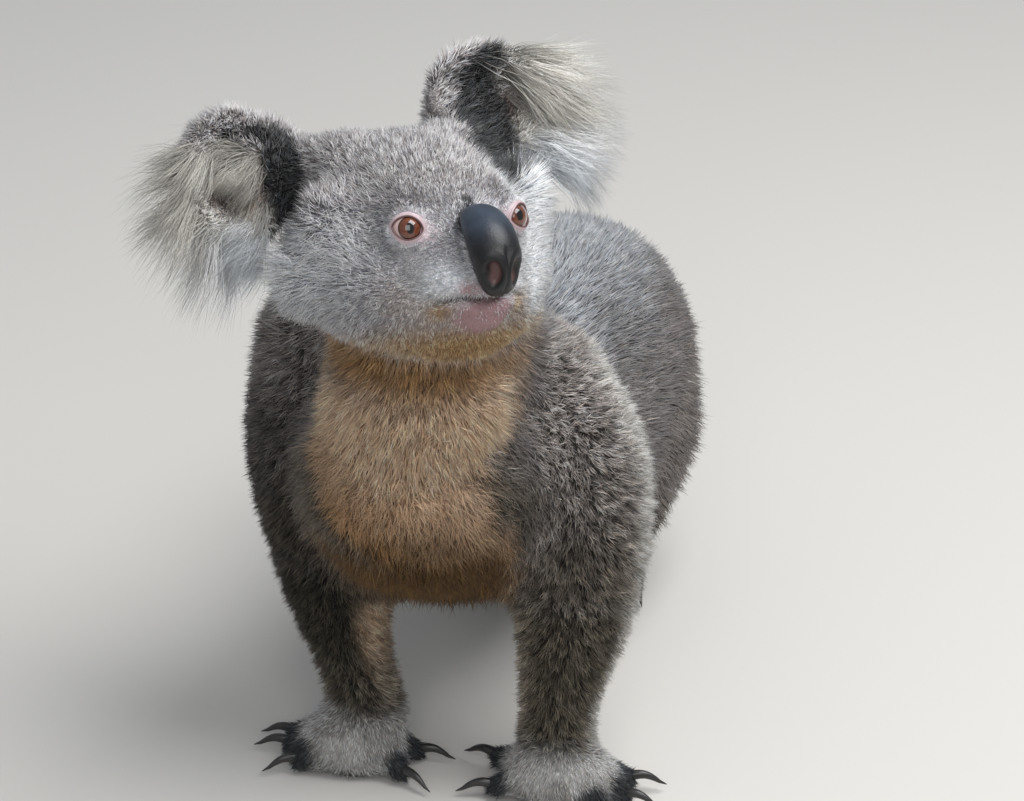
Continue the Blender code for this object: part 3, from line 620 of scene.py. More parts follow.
    # the ears: grey backs and rims, pale within, and a ragged black band that runs on down the head
    banded = ease(-12, 0, 20 * (normals @ HEAD_AXES @ THREE_QUARTER_FACING))
    on_head = head * ease(-26, -8, hy)
    ragged = 7 * (grain(points, 0.007, 7) - 0.5) + 5 * (grain(points, 0.003, 8) - 0.5)
    for side in SIDES:
        local, away = ear_zones(points, side)
        ear = belongs(f"ear_{side}")
        lay("crown", ear * 0.95)
        lay("rim", ear * ease(1.10, 0.92, away) * ease(9, 1, local[:, 1]))
        # the hollow is darker, partly the inner ear's own brownish pink and partly painted shadow in the hollow
        # and between the streams of hair
        lay("hollow", ear * valley(local, side) * ease(1.1, 0.9, away))
        cover = ease(3, -3, from_band(points, side) + ragged) * banded
        lay("black", cover * np.clip(ear + on_head, 0, 1) * ease(14, 7, local[:, 1]))
    # the paws: pale backs, and dark finger ends and inner fingers
    paws = belongs("hand") + belongs("foot")
    lay("paw", paws * (0.55 + 0.45 * ease(0.35, 0.6, grain(points, 0.012, 5))))
    roots = np.array([plan[0] for plan in CLAWS.values()])
    to_claw = np.linalg.norm(points[:, None] - roots[None], axis=2).min(axis=1)
    inner_hand = belongs("hand") * ease(0.064, 0.042, np.abs(x)) * ease(-0.165, -0.185, y)
    lay("finger", paws * np.clip(ease(0.018, 0.009, to_claw) + 0.8 * inner_hand, 0, 1))
    return tint


skin_tint = markings(skin_points, skin_normals, part_share)
mirrored = np.stack([np.abs(head_at[:, 0]), head_at[:, 1], head_at[:, 2]], axis=1)
on_muzzle, over_line = at_the_lips(30)
chin = np.clip(near(head_at, (0, -75, -44), (20, 18, 11)) * 2.2, 0, 1) * part_share("head")
pink = np.clip(chin + 0.9 * near(mirrored, (14, -78, -25), (8, 8, 5)) * part_share("head"), 0, 1)
around_eye = near(mirrored, (34, -56, 12.5), (13, 11, 9)) * part_share("head")
bare = np.clip(np.maximum(pink * 0.95, 1.4 * around_eye - 0.35), 0, 1)
# colours of the skin itself: wool roots, pink bare places, the dark mouth line and the dark pads
skin_colour = skin_tint[1] * 0.85
parting = np.exp(-((over_line / 1.7) ** 2)) * on_muzzle
sole = ease(0.010, 0.004, skin_points[:, 2])
ring = np.clip(1.6 * around_eye, 0, 1)
for name, cover in (("lip", pink), ("lid", ring), ("mouth", parting), ("pad", sole)):
    skin_colour = skin_colour * (1 - cover[:, None]) + np.array(BARE[name]) * cover[:, None]


def painted(mesh, name, colours):
    """Stores one colour for each point of a mesh, which its material reads."""
    layer = mesh.attributes.new(name, "FLOAT_COLOR", "POINT")
    opaque = np.column_stack([colours, np.ones(len(colours))])
    layer.data.foreach_set("color", opaque.astype(np.float32).ravel())


skin.data.attributes.remove(skin.data.attributes["part"])
skin_normals = normals_of(skin.data, skin_points)
painted(skin.data, "coat", skin_colour)
skin.data.shade_smooth()


def new_material(name):
    """A node material with its nodes, its links and its shader."""
    material = bpy.data.materials.new(name)
    material.use_nodes = True
    nodes = material.node_tree.nodes
    return material, nodes, material.node_tree.links, nodes["Principled BSDF"]


def fleck_group():
    """A node group that varies a colour: fine noise over the surface lightens and darkens it, and comes out
    as a height for bump too."""
    group = bpy.data.node_groups.new("fine_flecks", "ShaderNodeTree")
    for name, kind, way in (("Colour", "Color", "INPUT"), ("Scale", "Float", "INPUT"),
                            ("Strength", "Float", "INPUT"), ("Colour", "Color", "OUTPUT"),
                            ("Height", "Float", "OUTPUT")):
        group.interface.new_socket(name, in_out=way, socket_type=f"NodeSocket{kind}")
    nodes, links = group.nodes, group.links
    inlet, outlet = nodes.new("NodeGroupInput"), nodes.new("NodeGroupOutput")
    where, noise = nodes.new("ShaderNodeTexCoord"), nodes.new("ShaderNodeTexNoise")
    noise.inputs["Detail"].default_value = 3
    links.new(where.outputs["Object"], noise.inputs["Vector"])
    links.new(inlet.outputs["Scale"], noise.inputs["Scale"])
    centred = nodes.new("ShaderNodeMath")
    centred.operation = "SUBTRACT"
    centred.inputs[1].default_value = 0.5
    links.new(noise.outputs["Fac"], centred.inputs[0])
    scaled = nodes.new("ShaderNodeMath")
    scaled.operation = "MULTIPLY_ADD"
    scaled.inputs[2].default_value = 1.0
    links.new(centred.outputs[0], scaled.inputs[0])
    links.new(inlet.outputs["Strength"], scaled.inputs[1])
    tinted = nodes.new("ShaderNodeVectorMath")
    tinted.operation = "SCALE"
    links.new(inlet.outputs["Colour"], tinted.inputs[0])
    links.new(scaled.outputs[0], tinted.inputs["Scale"])
    links.new(tinted.outputs[0], outlet.inputs["Colour"])
    links.new(noise.outputs["Fac"], outlet.inputs["Height"])
    return group


FLECKS = fleck_group()


def flecked(name, attribute, scale, strength, bump, distance):
    """A material whose colour is an attribute varied by fine flecks, which also raise its surface."""
    material, nodes, links, shader = new_material(name)
    colour = nodes.new("ShaderNodeAttribute")
    colour.attribute_name = attribute
    flecks = nodes.new("ShaderNodeGroup")
    flecks.node_tree = FLECKS
    flecks.inputs["Scale"].default_value = scale
    flecks.inputs["Strength"].default_value = strength
    links.new(colour.outputs["Color"], flecks.inputs["Colour"])
    links.new(flecks.outputs["Colour"], shader.inputs["Base Color"])
    raised = nodes.new("ShaderNodeBump")
    raised.inputs["Strength"].default_value = bump
    raised.inputs["Distance"].default_value = distance
    links.new(flecks.outputs["Height"], raised.inputs["Height"])
    links.new(raised.outputs["Normal"], shader.inputs["Normal"])
    return material, shader


skin_finish, skin_shader = flecked("underfur_skin", "coat", 650, 0.9, 0.5, 0.0006)
skin_shader.inputs["Roughness"].default_value = 0.75
skin_shader.inputs["Specular IOR Level"].default_value = 0.25
skin.data.materials.append(skin_finish)
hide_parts(*FLESH, "ear_left", "ear_right")
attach(skin, "root")

# ==== The coat =========================================================================================
# Dense soft wool in small tufts. Each tuft is a closed three-sided spike that leaves the skin steeply, leans
# over the way the coat lies, and ends in a point; neighbours lean together into clumps.
COAT = {  # length and lean from upright, width, tufts for each square metre, clumping and straying
    "head": (0.0066, 40, 0.00066, 1.30e6, 0.45, 0.80),
    "neck": (0.0140, 48, 0.00095, 0.80e6, 0.60, 0.50),
    "trunk": (0.0140, 60, 0.00095, 0.50e6, 0.35, 0.30),
    "upper_arm": (0.0106, 36, 0.00080, 1.05e6, 0.65, 0.75),
    "forearm": (0.0096, 36, 0.00078, 1.05e6, 0.65, 0.75),
    "hand": (0.0052, 58, 0.00075, 0.75e6, 0.40, 0.30),
    "thigh": (0.0150, 52, 0.00095, 0.34e6, 0.70, 0.40),
    "shin": (0.0120, 52, 0.00090, 0.36e6, 0.70, 0.40),
    "foot": (0.0052, 58, 0.00085, 0.40e6, 0.40, 0.30),
    "ear": (0.0085, 42, 0.00074, 1.20e6, 0.50, 0.60),
}
FACE = (0.0044, 45, 0.00060, 1.75e6, 0.35, 0.80)
LENGTH, LEAN, WIDTH, DENSITY, _, STRAYING = range(6)


def coat_field():
    """The coat's sizes at every skin point, blended between the parts and shortened towards the muzzle."""
    head = part_share("head")
    field = sum(part_share(name)[:, None] * np.array(values) for name, values in COAT.items())
    face = (ease(-14, -50, head_at[:, 1]) * head)[:, None]
    field = field * (1 - face) + np.array(FACE) * face
    lower = near(head_at, (0, -74, -34), (30, 22, 24)) + near(mirrored, (36, -52, 13), (20, 16, 18))
    field[:, LENGTH] *= 1 - 0.42 * np.clip(lower, 0, 1) * head
    # longer ruffs on both cheeks, under both ears and at the front of the right shoulder
    ruff = near(mirrored, (66, 0, 0), (24, 34, 34)) * head
    under_ear = 1.2 * near(head_at, (76, 8, 36), (14, 26, 16))
    ruff += under_ear * np.clip(head + part_share("ear_left"), 0, 1)
    ruff += 1.15 * near(head_at, (-86, 14, -8), (14, 20, 20)) * head
    shoulder = 0.55 * near(skin_points, (-0.112, -0.114, 0.276), (0.020, 0.020, 0.022))
    ruff += shoulder * part_share("upper_arm")
    field[:, LENGTH] *= 1 + 1.5 * ruff
    field[:, LEAN] -= 12 * np.clip(ruff, 0, 1)
    # the wool of the chest is shorter, finer, more upright and more tangled
    chest = part_share("trunk") * ease(-0.13, -0.17, skin_points[:, 1])
    field[:, LENGTH] *= 1 - 0.18 * chest
    field[:, LEAN] -= 20 * chest
    field[:, WIDTH] *= 1 - 0.26 * chest
    field[:, STRAYING] += 0.35 * chest
    trailing = (part_share("upper_arm") + part_share("forearm")) * ease(0.3, 0.9, skin_normals[:, 1])
    field[:, LEAN] -= 12 * trailing
    # none on the bare skin, under the nose or under the soles
    field[:, DENSITY] *= 1 - np.clip(bare, 0, 1)
    field[:, DENSITY] *= ease(0.93, 1.0, under_nose(skin_points))
    field[:, DENSITY] *= 1 - ease(0.0065, 0.0035, skin_points[:, 2])
    return field


def lie_of_coat():
    """The way the coat lies at every skin point: away from the nose over the head, back along the body, down
    the chest and the limbs, and out to the claws and the ears' rims."""
    flow = np.zeros_like(skin_points)
    y = skin_points[:, 1]
    from_nose = unit(head_at - np.array((0, -86, -6))) + np.array((0, 0.55, -0.18))
    for sign in SIDES.values():
        from_eye = head_at - np.array((sign * 35.0, -52, 13))
        close = np.exp(-((np.linalg.norm(from_eye, axis=1) / 17) ** 2))
        from_nose = from_nose + unit(from_eye) * 1.6 * close[:, None]
    flow += part_share("head")[:, None] * unit(from_nose) @ HEAD_AXES.T
    ahead = ease(-0.07, -0.15, y)[:, None]
    down_front, back_along = np.array((0, 0.10, -1.0)), np.array((0, 1.0, -0.42))
    flow += part_share("neck")[:, None] * (down_front * ahead + back_along * (1 - ahead))
    rump = ease(0.13, 0.21, y)[:, None]
    body = down_front * ahead + back_along * (1 - ahead) * (1 - rump) + np.array((0, 0.25, -1.0)) * rump
    flow += part_share("trunk")[:, None] * body
    for side, sign in SIDES.items():
        wrist = middle_of(f"hand_{side}") + np.array((0, 0.012, 0.016))
        heel = middle_of(f"foot_{side}") + np.array((0, 0.05, 0.02))
        outward = unit(in_ear(skin_points, side) - np.array((-46, 4, -6)))
        for name, way in (
            ("upper_arm", np.array((0.12 * sign, 0.45, -1.0))),
            ("forearm", np.array((0.05 * sign, 0.40, -1.0))),
            ("thigh", np.array((0, 0.45, -1.0))),
            ("shin", np.array((0, 0.10, -1.0))),
            ("hand", unit(skin_points - wrist) * (1, 1, 0.6)),
            ("foot", unit(skin_points - heel)),
            ("ear", outward @ EARS[side]["axes"].T @ HEAD_AXES.T),
        ):
            flow += part_share(f"{name}_{side}")[:, None] * way
    return flow


field, flow = coat_field(), lie_of_coat()
flow -= (flow * skin_normals).sum(axis=1)[:, None] * skin_normals
flow = unit(blurred(unit(flow), skin_edges, 6))

skin.data.calc_loop_triangles()
skin_triangles = array_of(skin.data.loop_triangles, "vertices", np.int32, 3)
corners = skin_points[skin_triangles]
spanned = np.cross(corners[:, 1] - corners[:, 0], corners[:, 2] - corners[:, 0])
triangle_area = np.linalg.norm(spanned, axis=1) / 2


def sown(wanted, seed, thicker=1.0):
    """Places for tufts over the wanted skin triangles: each gets its area times the density, with the odd
    part left to chance, at random points inside it. Returns the triangles, the corners' shares and the source
    of the chances to come."""
    chance = np.random.default_rng(seed)
    expected = triangle_area * field[skin_triangles, DENSITY].mean(axis=1) * wanted * thicker
    count = np.floor(expected + chance.random(len(expected))).astype(int)
    which = np.repeat(np.arange(len(count)), count)
    a, b = chance.random(len(which)), chance.random(len(which))
    over = a + b > 1
    a, b = np.where(over, 1 - a, a), np.where(over, 1 - b, b)
    return which, np.stack([1 - a - b, a, b], axis=1), chance


def blended(values, which, shares):
    """Values of the skin's points at places in its triangles, mixed by the corners' shares."""
    return (values[skin_triangles[which]] * shares[..., None]).sum(axis=1)


def gathered_locks(points, size, seed):
    """The lock that each tuft belongs to: the nearest of scattered centres, one in each cube `size` wide.
    Returns the way to that centre, its distance as a share of the size, and three random values of the
    lock."""
    base = np.floor(points / size).astype(np.int64) + OUTSIDE
    nearest = np.full(len(points), np.inf)
    way, own = np.zeros_like(points), np.zeros_like(points)
    for step in itertools.product((-1, 0, 1), repeat=3):
        cell = base + np.array(step)
        toss = np.stack([tossed(cell, seed + k) for k in range(3)], axis=1)
        mark = np.stack([tossed(cell, seed + 3 + k) for k in range(3)], axis=1)
        there = (cell - OUTSIDE + toss) * size - points
        away = np.linalg.norm(there, axis=1)
        closer = away < nearest
        nearest = np.where(closer, away, nearest)
        way = np.where(closer[:, None], there, way)
        own = np.where(closer[:, None], mark, own)
    return way, nearest / size, own


PATCH = 0.003  # the side of each tuft's patch, as a share of a piece's unrolled skin
ROOT_DEPTH = 0.0006


def tuft_mesh(name, root, out, along, length, width, lean, sway, tints, places, steps, wave=None, taper=0.6):
    """Closed three-sided spikes, one for each root, ringed at the given steps t from 0 to 1. The middle line
    has climbed by t + 0.32 t (1 - t) of the upright part of the lean and gone t - 0.32 t (1 - t) of the flat
    part, so it starts steep; a sideways sway grows as t squared, and a wave, when there is one, as the root
    of t. The width shrinks as 1 - t to the power of the taper."""
    count, rings = len(root), len(steps) - 1
    across = unit(np.cross(out, along))
    rising, going = np.cos(lean), np.sin(lean)
    up = out * going[:, None] - along * rising[:, None]
    points = np.empty((count, rings * 3 + 1, 3))
    shade = np.empty((count, rings * 3 + 1, 3))
    for j, t in enumerate(steps):
        bow = 0.32 * t * (1 - t)
        arc = out * (rising * (t + bow))[:, None] + along * (going * (t - bow))[:, None] + sway * t * t
        middle = root - out * ROOT_DEPTH + length[:, None] * arc
        if wave is not None:
            swing = length * wave[0] * math.sqrt(t) * np.sin(9.0 * t + wave[1])
            middle = middle + across * swing[:, None]
        mixed = tints[1] + (tints[0] - tints[1]) * t
        if j == rings:
            points[:, -1], shade[:, -1] = middle, mixed
            break
        w = (width * (1 - t) ** taper)[:, None]
        for k, (a, b) in enumerate(((-0.5, -0.22), (0.5, -0.22), (0.0, 0.40))):
            points[:, j * 3 + k] = middle + across * w * a + up * w * b
            shade[:, j * 3 + k] = mixed
    points[..., 2] = np.maximum(points[..., 2], FLOOR_GAP)
    pattern, uv = [], []
    for j in range(rings - 1):
        for k in range(3):
            a, b = j * 3 + k, j * 3 + (k + 1) % 3
            pattern.append((a, b, b + 3, a + 3))
            uv += [((k + m) / 3, steps[j + n]) for m, n in ((0, 0), (1, 0), (1, 1), (0, 1))]
    tip, base = rings * 3, (rings - 1) * 3
    for k in range(3):
        pattern.append((base + k, base + (k + 1) % 3, tip))
        uv += [(k / 3, steps[-2]), ((k + 1) / 3, steps[-2]), ((k + 0.5) / 3, 1.0)]
    pattern.append((0, 2, 1))
    uv += [(0.0, 0.0), (0.3, 0.0), (0.15, 0.1)]
    sizes = np.array([len(f) for f in pattern])
    flat = np.concatenate([np.array(f) for f in pattern])
    mesh = bpy.data.meshes.new(name)
    mesh.vertices.add(count * points.shape[1])
    mesh.vertices.foreach_set("co", points.astype(np.float32).ravel())
    loops = (flat[None] + (np.arange(count) * points.shape[1])[:, None]).ravel().astype(np.int32)
    mesh.loops.add(len(loops))
    mesh.polygons.add(count * len(pattern))
    first = np.cumsum(sizes) - sizes
    starts = first[None] + (np.arange(count) * len(flat))[:, None]
    mesh.polygons.foreach_set("loop_start", starts.ravel().astype(np.int32))
    mesh.polygons.foreach_set("vertices", loops)
    layer = mesh.uv_layers.new(name="OFBake")
    spots = places[:, None, :] + (np.array(uv) * PATCH)[None]
    layer.data.foreach_set("uv", spots.astype(np.float32).ravel())
    mesh.update(calc_edges=True)
    painted(mesh, "coat", shade.reshape(-1, 3))
    mesh.shade_smooth()
    return mesh


wool_finish, wool_shader = flecked("grey_wool", "coat", 900, 0.5, 0.25, 0.0003)
wool_shader.inputs["Roughness"].default_value = 0.85
wool_shader.inputs["Specular IOR Level"].default_value = 0.12
wool_shader.inputs["Sheen Weight"].default_value = 0.06
wool_shader.inputs["Sheen Roughness"].default_value = 0.45


def unrolled(points, axis):
    """Where points lie on the unrolled skin of a piece, as shares of its width and height: their turn about
    an axis through the middle of them all, then their way along it, drawn in by one tuft's own patch."""
    axis = unit(np.array(axis, float))
    away = points - (points.min(axis=0) + points.max(axis=0)) / 2
    first = unit(np.cross(axis, (0.31, 0.17, 0.93) if abs(axis[2]) < 0.9 else (1.0, 0.1, 0.0)))
    second = np.cross(axis, first)
    turn = np.arctan2(away @ second, away @ first) / (2 * math.pi) + 0.5
    run = points @ axis
    run = (run - run.min()) / np.ptp(run)
    return (0.01 + 0.97 * np.stack([turn, run], axis=1)) * (1 - PATCH * 1.5)


def grown(name, wanted, seed, axis, lock, thicker=1.0, slot="coat", contrast=0.30, curl=0.10):
    """One piece of the coat over the wanted skin triangles. Each tuft takes its sizes and its lie from the
    skin's points, strays from them by chance, and leans towards the middle of its lock."""
    which, shares, chance = sown(wanted, seed, thicker)
    root = blended(skin_points, which, shares)
    out = unit(blended(skin_normals, which, shares))
    along = blended(flow, which, shares)
    length, lean, width, _, clump, wander = blended(field, which, shares).T
    tip, base = (blended(t, which, shares) for t in skin_tint)
    count = len(root)
    to_lock, apart, own = gathered_locks(root, lock, 11)
    to_lock -= (to_lock * out).sum(axis=1)[:, None] * out
    broad = np.stack([grain(root, lock * 4, 21 + k) - 0.5 for k in range(3)], axis=1)
    stray = chance.normal(0, 0.45, (count, 3)) * wander[:, None]
    along = unit(along + stray + wander[:, None] * (own - 0.5) * 1.6 + broad * 0.7)
    along = unit(along - (along * out).sum(axis=1)[:, None] * out)
    longer = 1 + 0.5 * clump * (0.45 - apart) + 0.25 * (own[:, 1] - 0.5)
    length = length * chance.uniform(0.72, 1.12, count) * longer
    sway = to_lock * (clump / length)[:, None] + chance.normal(0, curl, (count, 3))
    sway -= 0.5 * (sway * out).sum(axis=1)[:, None] * out
    lean = np.radians(np.clip(lean + chance.normal(0, 9, count) + 16 * (own[:, 2] - 0.5), 12, 82))
    width = width * chance.uniform(0.75, 1.30, count)
    # salt and pepper: tufts vary in tone by chance and some are dark to the tip; the darker hollows between
    # locks are painted shade and their paler middles painted light
    contrast = np.maximum(contrast, 0.40 * ease(0.55, 0.25, tip.mean(axis=1)))
    light = 2.2 * (0.5 - apart) + 2.2 * (own[:, 0] - 0.5) + chance.normal(0, 0.7, count)
    bright = np.exp(contrast * light)
    bright = np.where(chance.random(count) < 0.12, bright * 0.45, bright)
    warm = 1 + 0.04 * chance.normal(0, 1, (count, 1)) * np.array((1.0, 0.1, -0.9))
    tip = np.clip(tip * bright[:, None] * warm, 0, 0.92)
    base = np.clip(base * (0.6 + 0.4 * bright)[:, None] * warm, 0, 0.9)
    places = unrolled(root, axis)
    mesh = tuft_mesh(name, root, out, along, length, width, lean, sway, (tip, base), places, (0, 1))
    mesh.materials.append(wool_finish)
    coat = placed_object(name, mesh)
    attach(coat, "root")


triangle_part = share[skin_triangles].mean(axis=1).argmax(axis=1)
triangle_middle = corners.mean(axis=1)


def of_parts(*names):
    """Which skin triangles belong to the parts whose labels start with one of the names."""
    return np.isin(triangle_part, [k for k, label in enumerate(LABELS) if label.startswith(names)])


crown, flanks = of_parts("head"), of_parts("trunk")
face = crown & (in_head(triangle_middle)[:, 1] < -22)
chest = flanks & (triangle_middle[:, 1] < -0.075)
crown, flanks = crown & ~face, flanks & ~chest
left = in_head(triangle_middle)[:, 0] >= 0
grown("coat_face", face, 1, HEAD_AXES[:, 1], 0.0022, contrast=0.40)
grown("coat_head_left", crown & left, 2, HEAD_AXES[:, 2], 0.0028, contrast=0.38)
grown("coat_head_right", crown & ~left, 13, HEAD_AXES[:, 2], 0.0028, contrast=0.38)
grown("coat_neck", of_parts("neck"), 3, (0, -0.3, 1), 0.0045)
grown("coat_chest", chest, 4, (0, 0, 1), 0.0085, thicker=1.7, contrast=0.10, curl=0.34)
left = triangle_middle[:, 0] >= 0
grown("coat_flank_left", flanks & left, 5, (0, 1, 0), 0.0050, contrast=0.22)
grown("coat_flank_right", flanks & ~left, 6, (0, 1, 0), 0.0050, contrast=0.22)
for k, side in enumerate(SIDES):
    arm = of_parts(f"upper_arm_{side}", f"forearm_{side}")
    grown(f"coat_arm_{side}", arm, 7 + k, (0, 0, 1), 0.0042, contrast=0.46)
grown("coat_legs", of_parts("thigh", "shin"), 9, (0, 0, 1), 0.0045)
grown("coat_paws", of_parts("hand", "foot"), 10, (0, 1, 0), 0.0025, slot="paw_coat")
for k, side in enumerate(SIDES):
    backwards = HEAD_AXES @ EARS[side]["axes"][:, 1]
    grown(f"coat_ear_{side}", of_parts(f"ear_{side}"), 11 + k, backwards, 0.0028, contrast=0.36)

# ==== Ear fringes ======================================================================================
# Long fine pale hair, rooted in the hollow of each ear along the black band, sweeps outwards past the ear's
# edge in loose soft locks that droop at their ends.

# In millimetres of the ear's frame: the ellipse that the hair ends on (edge: its middle and its half sizes),
# the height where its two streams part (parting), how far out it starts (from) and the longest hair (reach).
# As shares: the slopes of the upper stream, of the lower one and of the lower one's outer tail, the sag of
# each hair (droop), the shortening of the lower stream outwards (short) and of hair that crosses the hollow
# (parted), the paleness of the tips (pale), of the roots against them (root) and of the lower stream (lift).
# The left ear's higher pale and root values are painted light, standing in for light on and through its hair,
# and the right ear's lower ones are painted shade.
FRINGE = {
    "left": {"edge": ((24, -12), (60, 56)), "parting": -4, "from": 0, "reach": 62,
             "upper": -0.62, "lower": -0.80, "tail": -0.80, "droop": -0.20, "short": -0.10, "parted": 0.0,
             "pale": 0.92, "root": 0.80, "lift": 0.86},
    "right": {"edge": ((22, -4), (54, 56)), "parting": -10, "from": -40, "reach": 53,
              "upper": 0.24, "lower": 0.44, "tail": -0.70, "droop": -0.46, "short": 0.44, "parted": 0.66,
              "pale": 0.62, "root": 0.46, "lift": 1.12},
}


def valley_along(root, along, length, t, side):
    """How much of the hollow lies under each hair at the share t of its length."""
    return valley(in_ear(root + along * (length * t)[:, None], side), side)


for k, side in enumerate(SIDES):
    plan = FRINGE[side]
    local, away = ear_zones(triangle_middle, side)
    to_band = from_band(triangle_middle, side)
    bed = of_parts(f"ear_{side}") * ease(8, 1, local[:, 1]) * ease(1.12, 0.96, away) * ease(-2, 2, to_band)
    bed = bed * (local[:, 0] > plan["from"]) * (0.45 + 0.9 * ease(18, 4, to_band))
    bed = bed * (1 - 0.8 * valley(local, side))
    at_parting = np.exp(-(((local[:, 2] - plan["parting"]) / 5) ** 2))
    bed = bed * (1 - 0.75 * at_parting * ease(4, 14, local[:, 0]))
    which, shares, chance = sown(bed, 31 + k, 2.9)
    root = blended(skin_points, which, shares)
    local = in_ear(root, side)
    count = len(root)
    below = ease(plan["parting"] + 6, plan["parting"] - 26, local[:, 2])
    to_lock, apart, own = gathered_locks(root, 0.0062, 61)
    # each hair heads outwards and falls with its stream
    lowest = plan["lower"] + (plan["tail"] - plan["lower"]) * ease(2, 26, local[:, 0])
    fall = plan["upper"] + (lowest - plan["upper"]) * below
    heading = np.stack([np.ones(count), np.zeros(count), fall], axis=1)
    heading = heading + 0.85 * (own - 0.5) * (1, 0, 1) + chance.normal(0, 0.16, (count, 3)) * (1, 0, 1)
    heading = unit(heading)
    # its length is the way t to the ellipse, where place + t step is 1 long, and then it is cut unevenly
    (middle_out, middle_up), (wide, tall) = plan["edge"]
    place = np.stack([(local[:, 0] - middle_out) / wide, (local[:, 2] - middle_up) / tall], axis=1)
    step = np.stack([heading[:, 0] / wide, heading[:, 2] / tall], axis=1)
    a, b, c = (step * step).sum(axis=1), (place * step).sum(axis=1), (place * place).sum(axis=1) - 1
    to_edge = np.clip((np.sqrt(np.maximum(b * b - a * c, 0.01)) - b) / a, 9, 72)
    length = to_edge * (0.62 + 0.42 * chance.random(count) ** 0.6) * (1.08 - 0.3 * own[:, 1])
    length = length * (1 - plan["short"] * below * ease(-12, 16, local[:, 0]))
    length = np.clip(length, 7, plan["reach"]) * HEAD_MM
    axes = HEAD_AXES @ EARS[side]["axes"]
    out = unit(0.3 * (own - 0.5) - axes[:, 1])
    along = unit(heading @ axes.T)
    along = unit(along - (along * out).sum(axis=1)[:, None] * out)
    crossing = [valley_along(root, along, length, t, side) for t in (0.35, 0.6, 0.85)]
    length *= 1 - plan["parted"] * np.max(crossing, axis=0)
    lean = chance.normal(70, 6, count) + 14 * (own[:, 2] - 0.5) - 10 * below
    lean = np.radians(np.clip(lean, 46, 84))
    sway = to_lock * (0.55 / length)[:, None] + np.array((0, 0, plan["droop"]))
    sway = sway - 0.10 * out + chance.normal(0, 0.045, (count, 3))
    # warm above and cool below, darker and browner over the hollow, partly the hollow's own colour and partly
    # painted shadow there, paler in the locks' middles as painted light, with dark roots where the hair rises
    # from the band
    dark = (ease(7, 0, from_band(root, side)) * (1 - below))[:, None]
    below = below[:, None]
    bright = np.exp(0.20 * chance.normal(0, 1, count) + 0.6 * (own[:, 0] - 0.5) + 0.4 * (0.45 - apart))
    warm = np.array((1.0, 0.955, 0.87)) * (1 - below)
    warm = (warm + np.array((0.95, 1.0, 1.06)) * plan["lift"] * below) * bright[:, None]
    shade = [1 - valley_along(root, along, length, t, side)[:, None] * np.array((0.50, 0.60, 0.66))
             for t in (0.55, 0.12)]
    tip = np.clip(plan["pale"] * warm * shade[0], 0, 0.92)
    base = plan["root"] * plan["pale"] * warm * (1 - dark)
    base = (base + np.array((0.060, 0.046, 0.040)) * dark * bright[:, None]) * shade[1]
    width = chance.uniform(0.00036, 0.00062, count)
    wave = (0.040 + 0.036 * below[:, 0], chance.uniform(0, 2.2, count) + 6.3 * own[:, 2])
    mesh = tuft_mesh(f"fringe_{side}", root, out, along, length, width, lean, sway, (tip, base),
                     unrolled(root, axes[:, 1]), (0, 0.34, 0.68, 1), wave, 0.85)
    mesh.materials.append(wool_finish)
    fringe = placed_object(f"fringe_{side}", mesh)
    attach(fringe, "root")

# ==== Eyes =============================================================================================
# Wet round eyes, each a ball held in its socket under the lids: a pinkish white, an amber iris ringed with
# dark brown, an upright slit pupil, and a clear bulging cornea over the iris.
GAZE = {"left": (0.06, -0.98, 0.14), "right": (-0.33, -0.94, 0.08)}
IRIS_EDGE = math.radians(41)
CORNEA, EYE_GAP = 0.0007, 0.00015  # the cornea's bulge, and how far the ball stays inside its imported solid
EYE_TINTS = {"white": (0.56, 0.40, 0.38), "ring": (0.035, 0.012, 0.008), "iris": (0.115, 0.032, 0.013),
             "inner": (0.045, 0.013, 0.007), "pupil": (0.004, 0.003, 0.003)}


def made_mesh(name, points, faces, colours=None):
    """A smooth mesh with its faces turned outwards and, when given, one colour for each point."""
    mesh = bpy.data.meshes.new(name)
    mesh.from_pydata(np.asarray(points).tolist(), [], [list(f) for f in faces])
    outward = bmesh.new()
    outward.from_mesh(mesh)
    bmesh.ops.recalc_face_normals(outward, faces=outward.faces)
    outward.to_mesh(mesh)
    outward.free()
    if colours is not None:
        painted(mesh, "tint", colours)
    mesh.shade_smooth()
    return mesh


wet, nodes, links, shader = new_material("wet_eye")
tint_in = nodes.new("ShaderNodeAttribute")
tint_in.attribute_name = "tint"
links.new(tint_in.outputs["Color"], shader.inputs["Base Color"])
shader.inputs["Roughness"].default_value = 0.07
shader.inputs["Coat Weight"].default_value = 0.6
shader.inputs["Coat Roughness"].default_value = 0.02

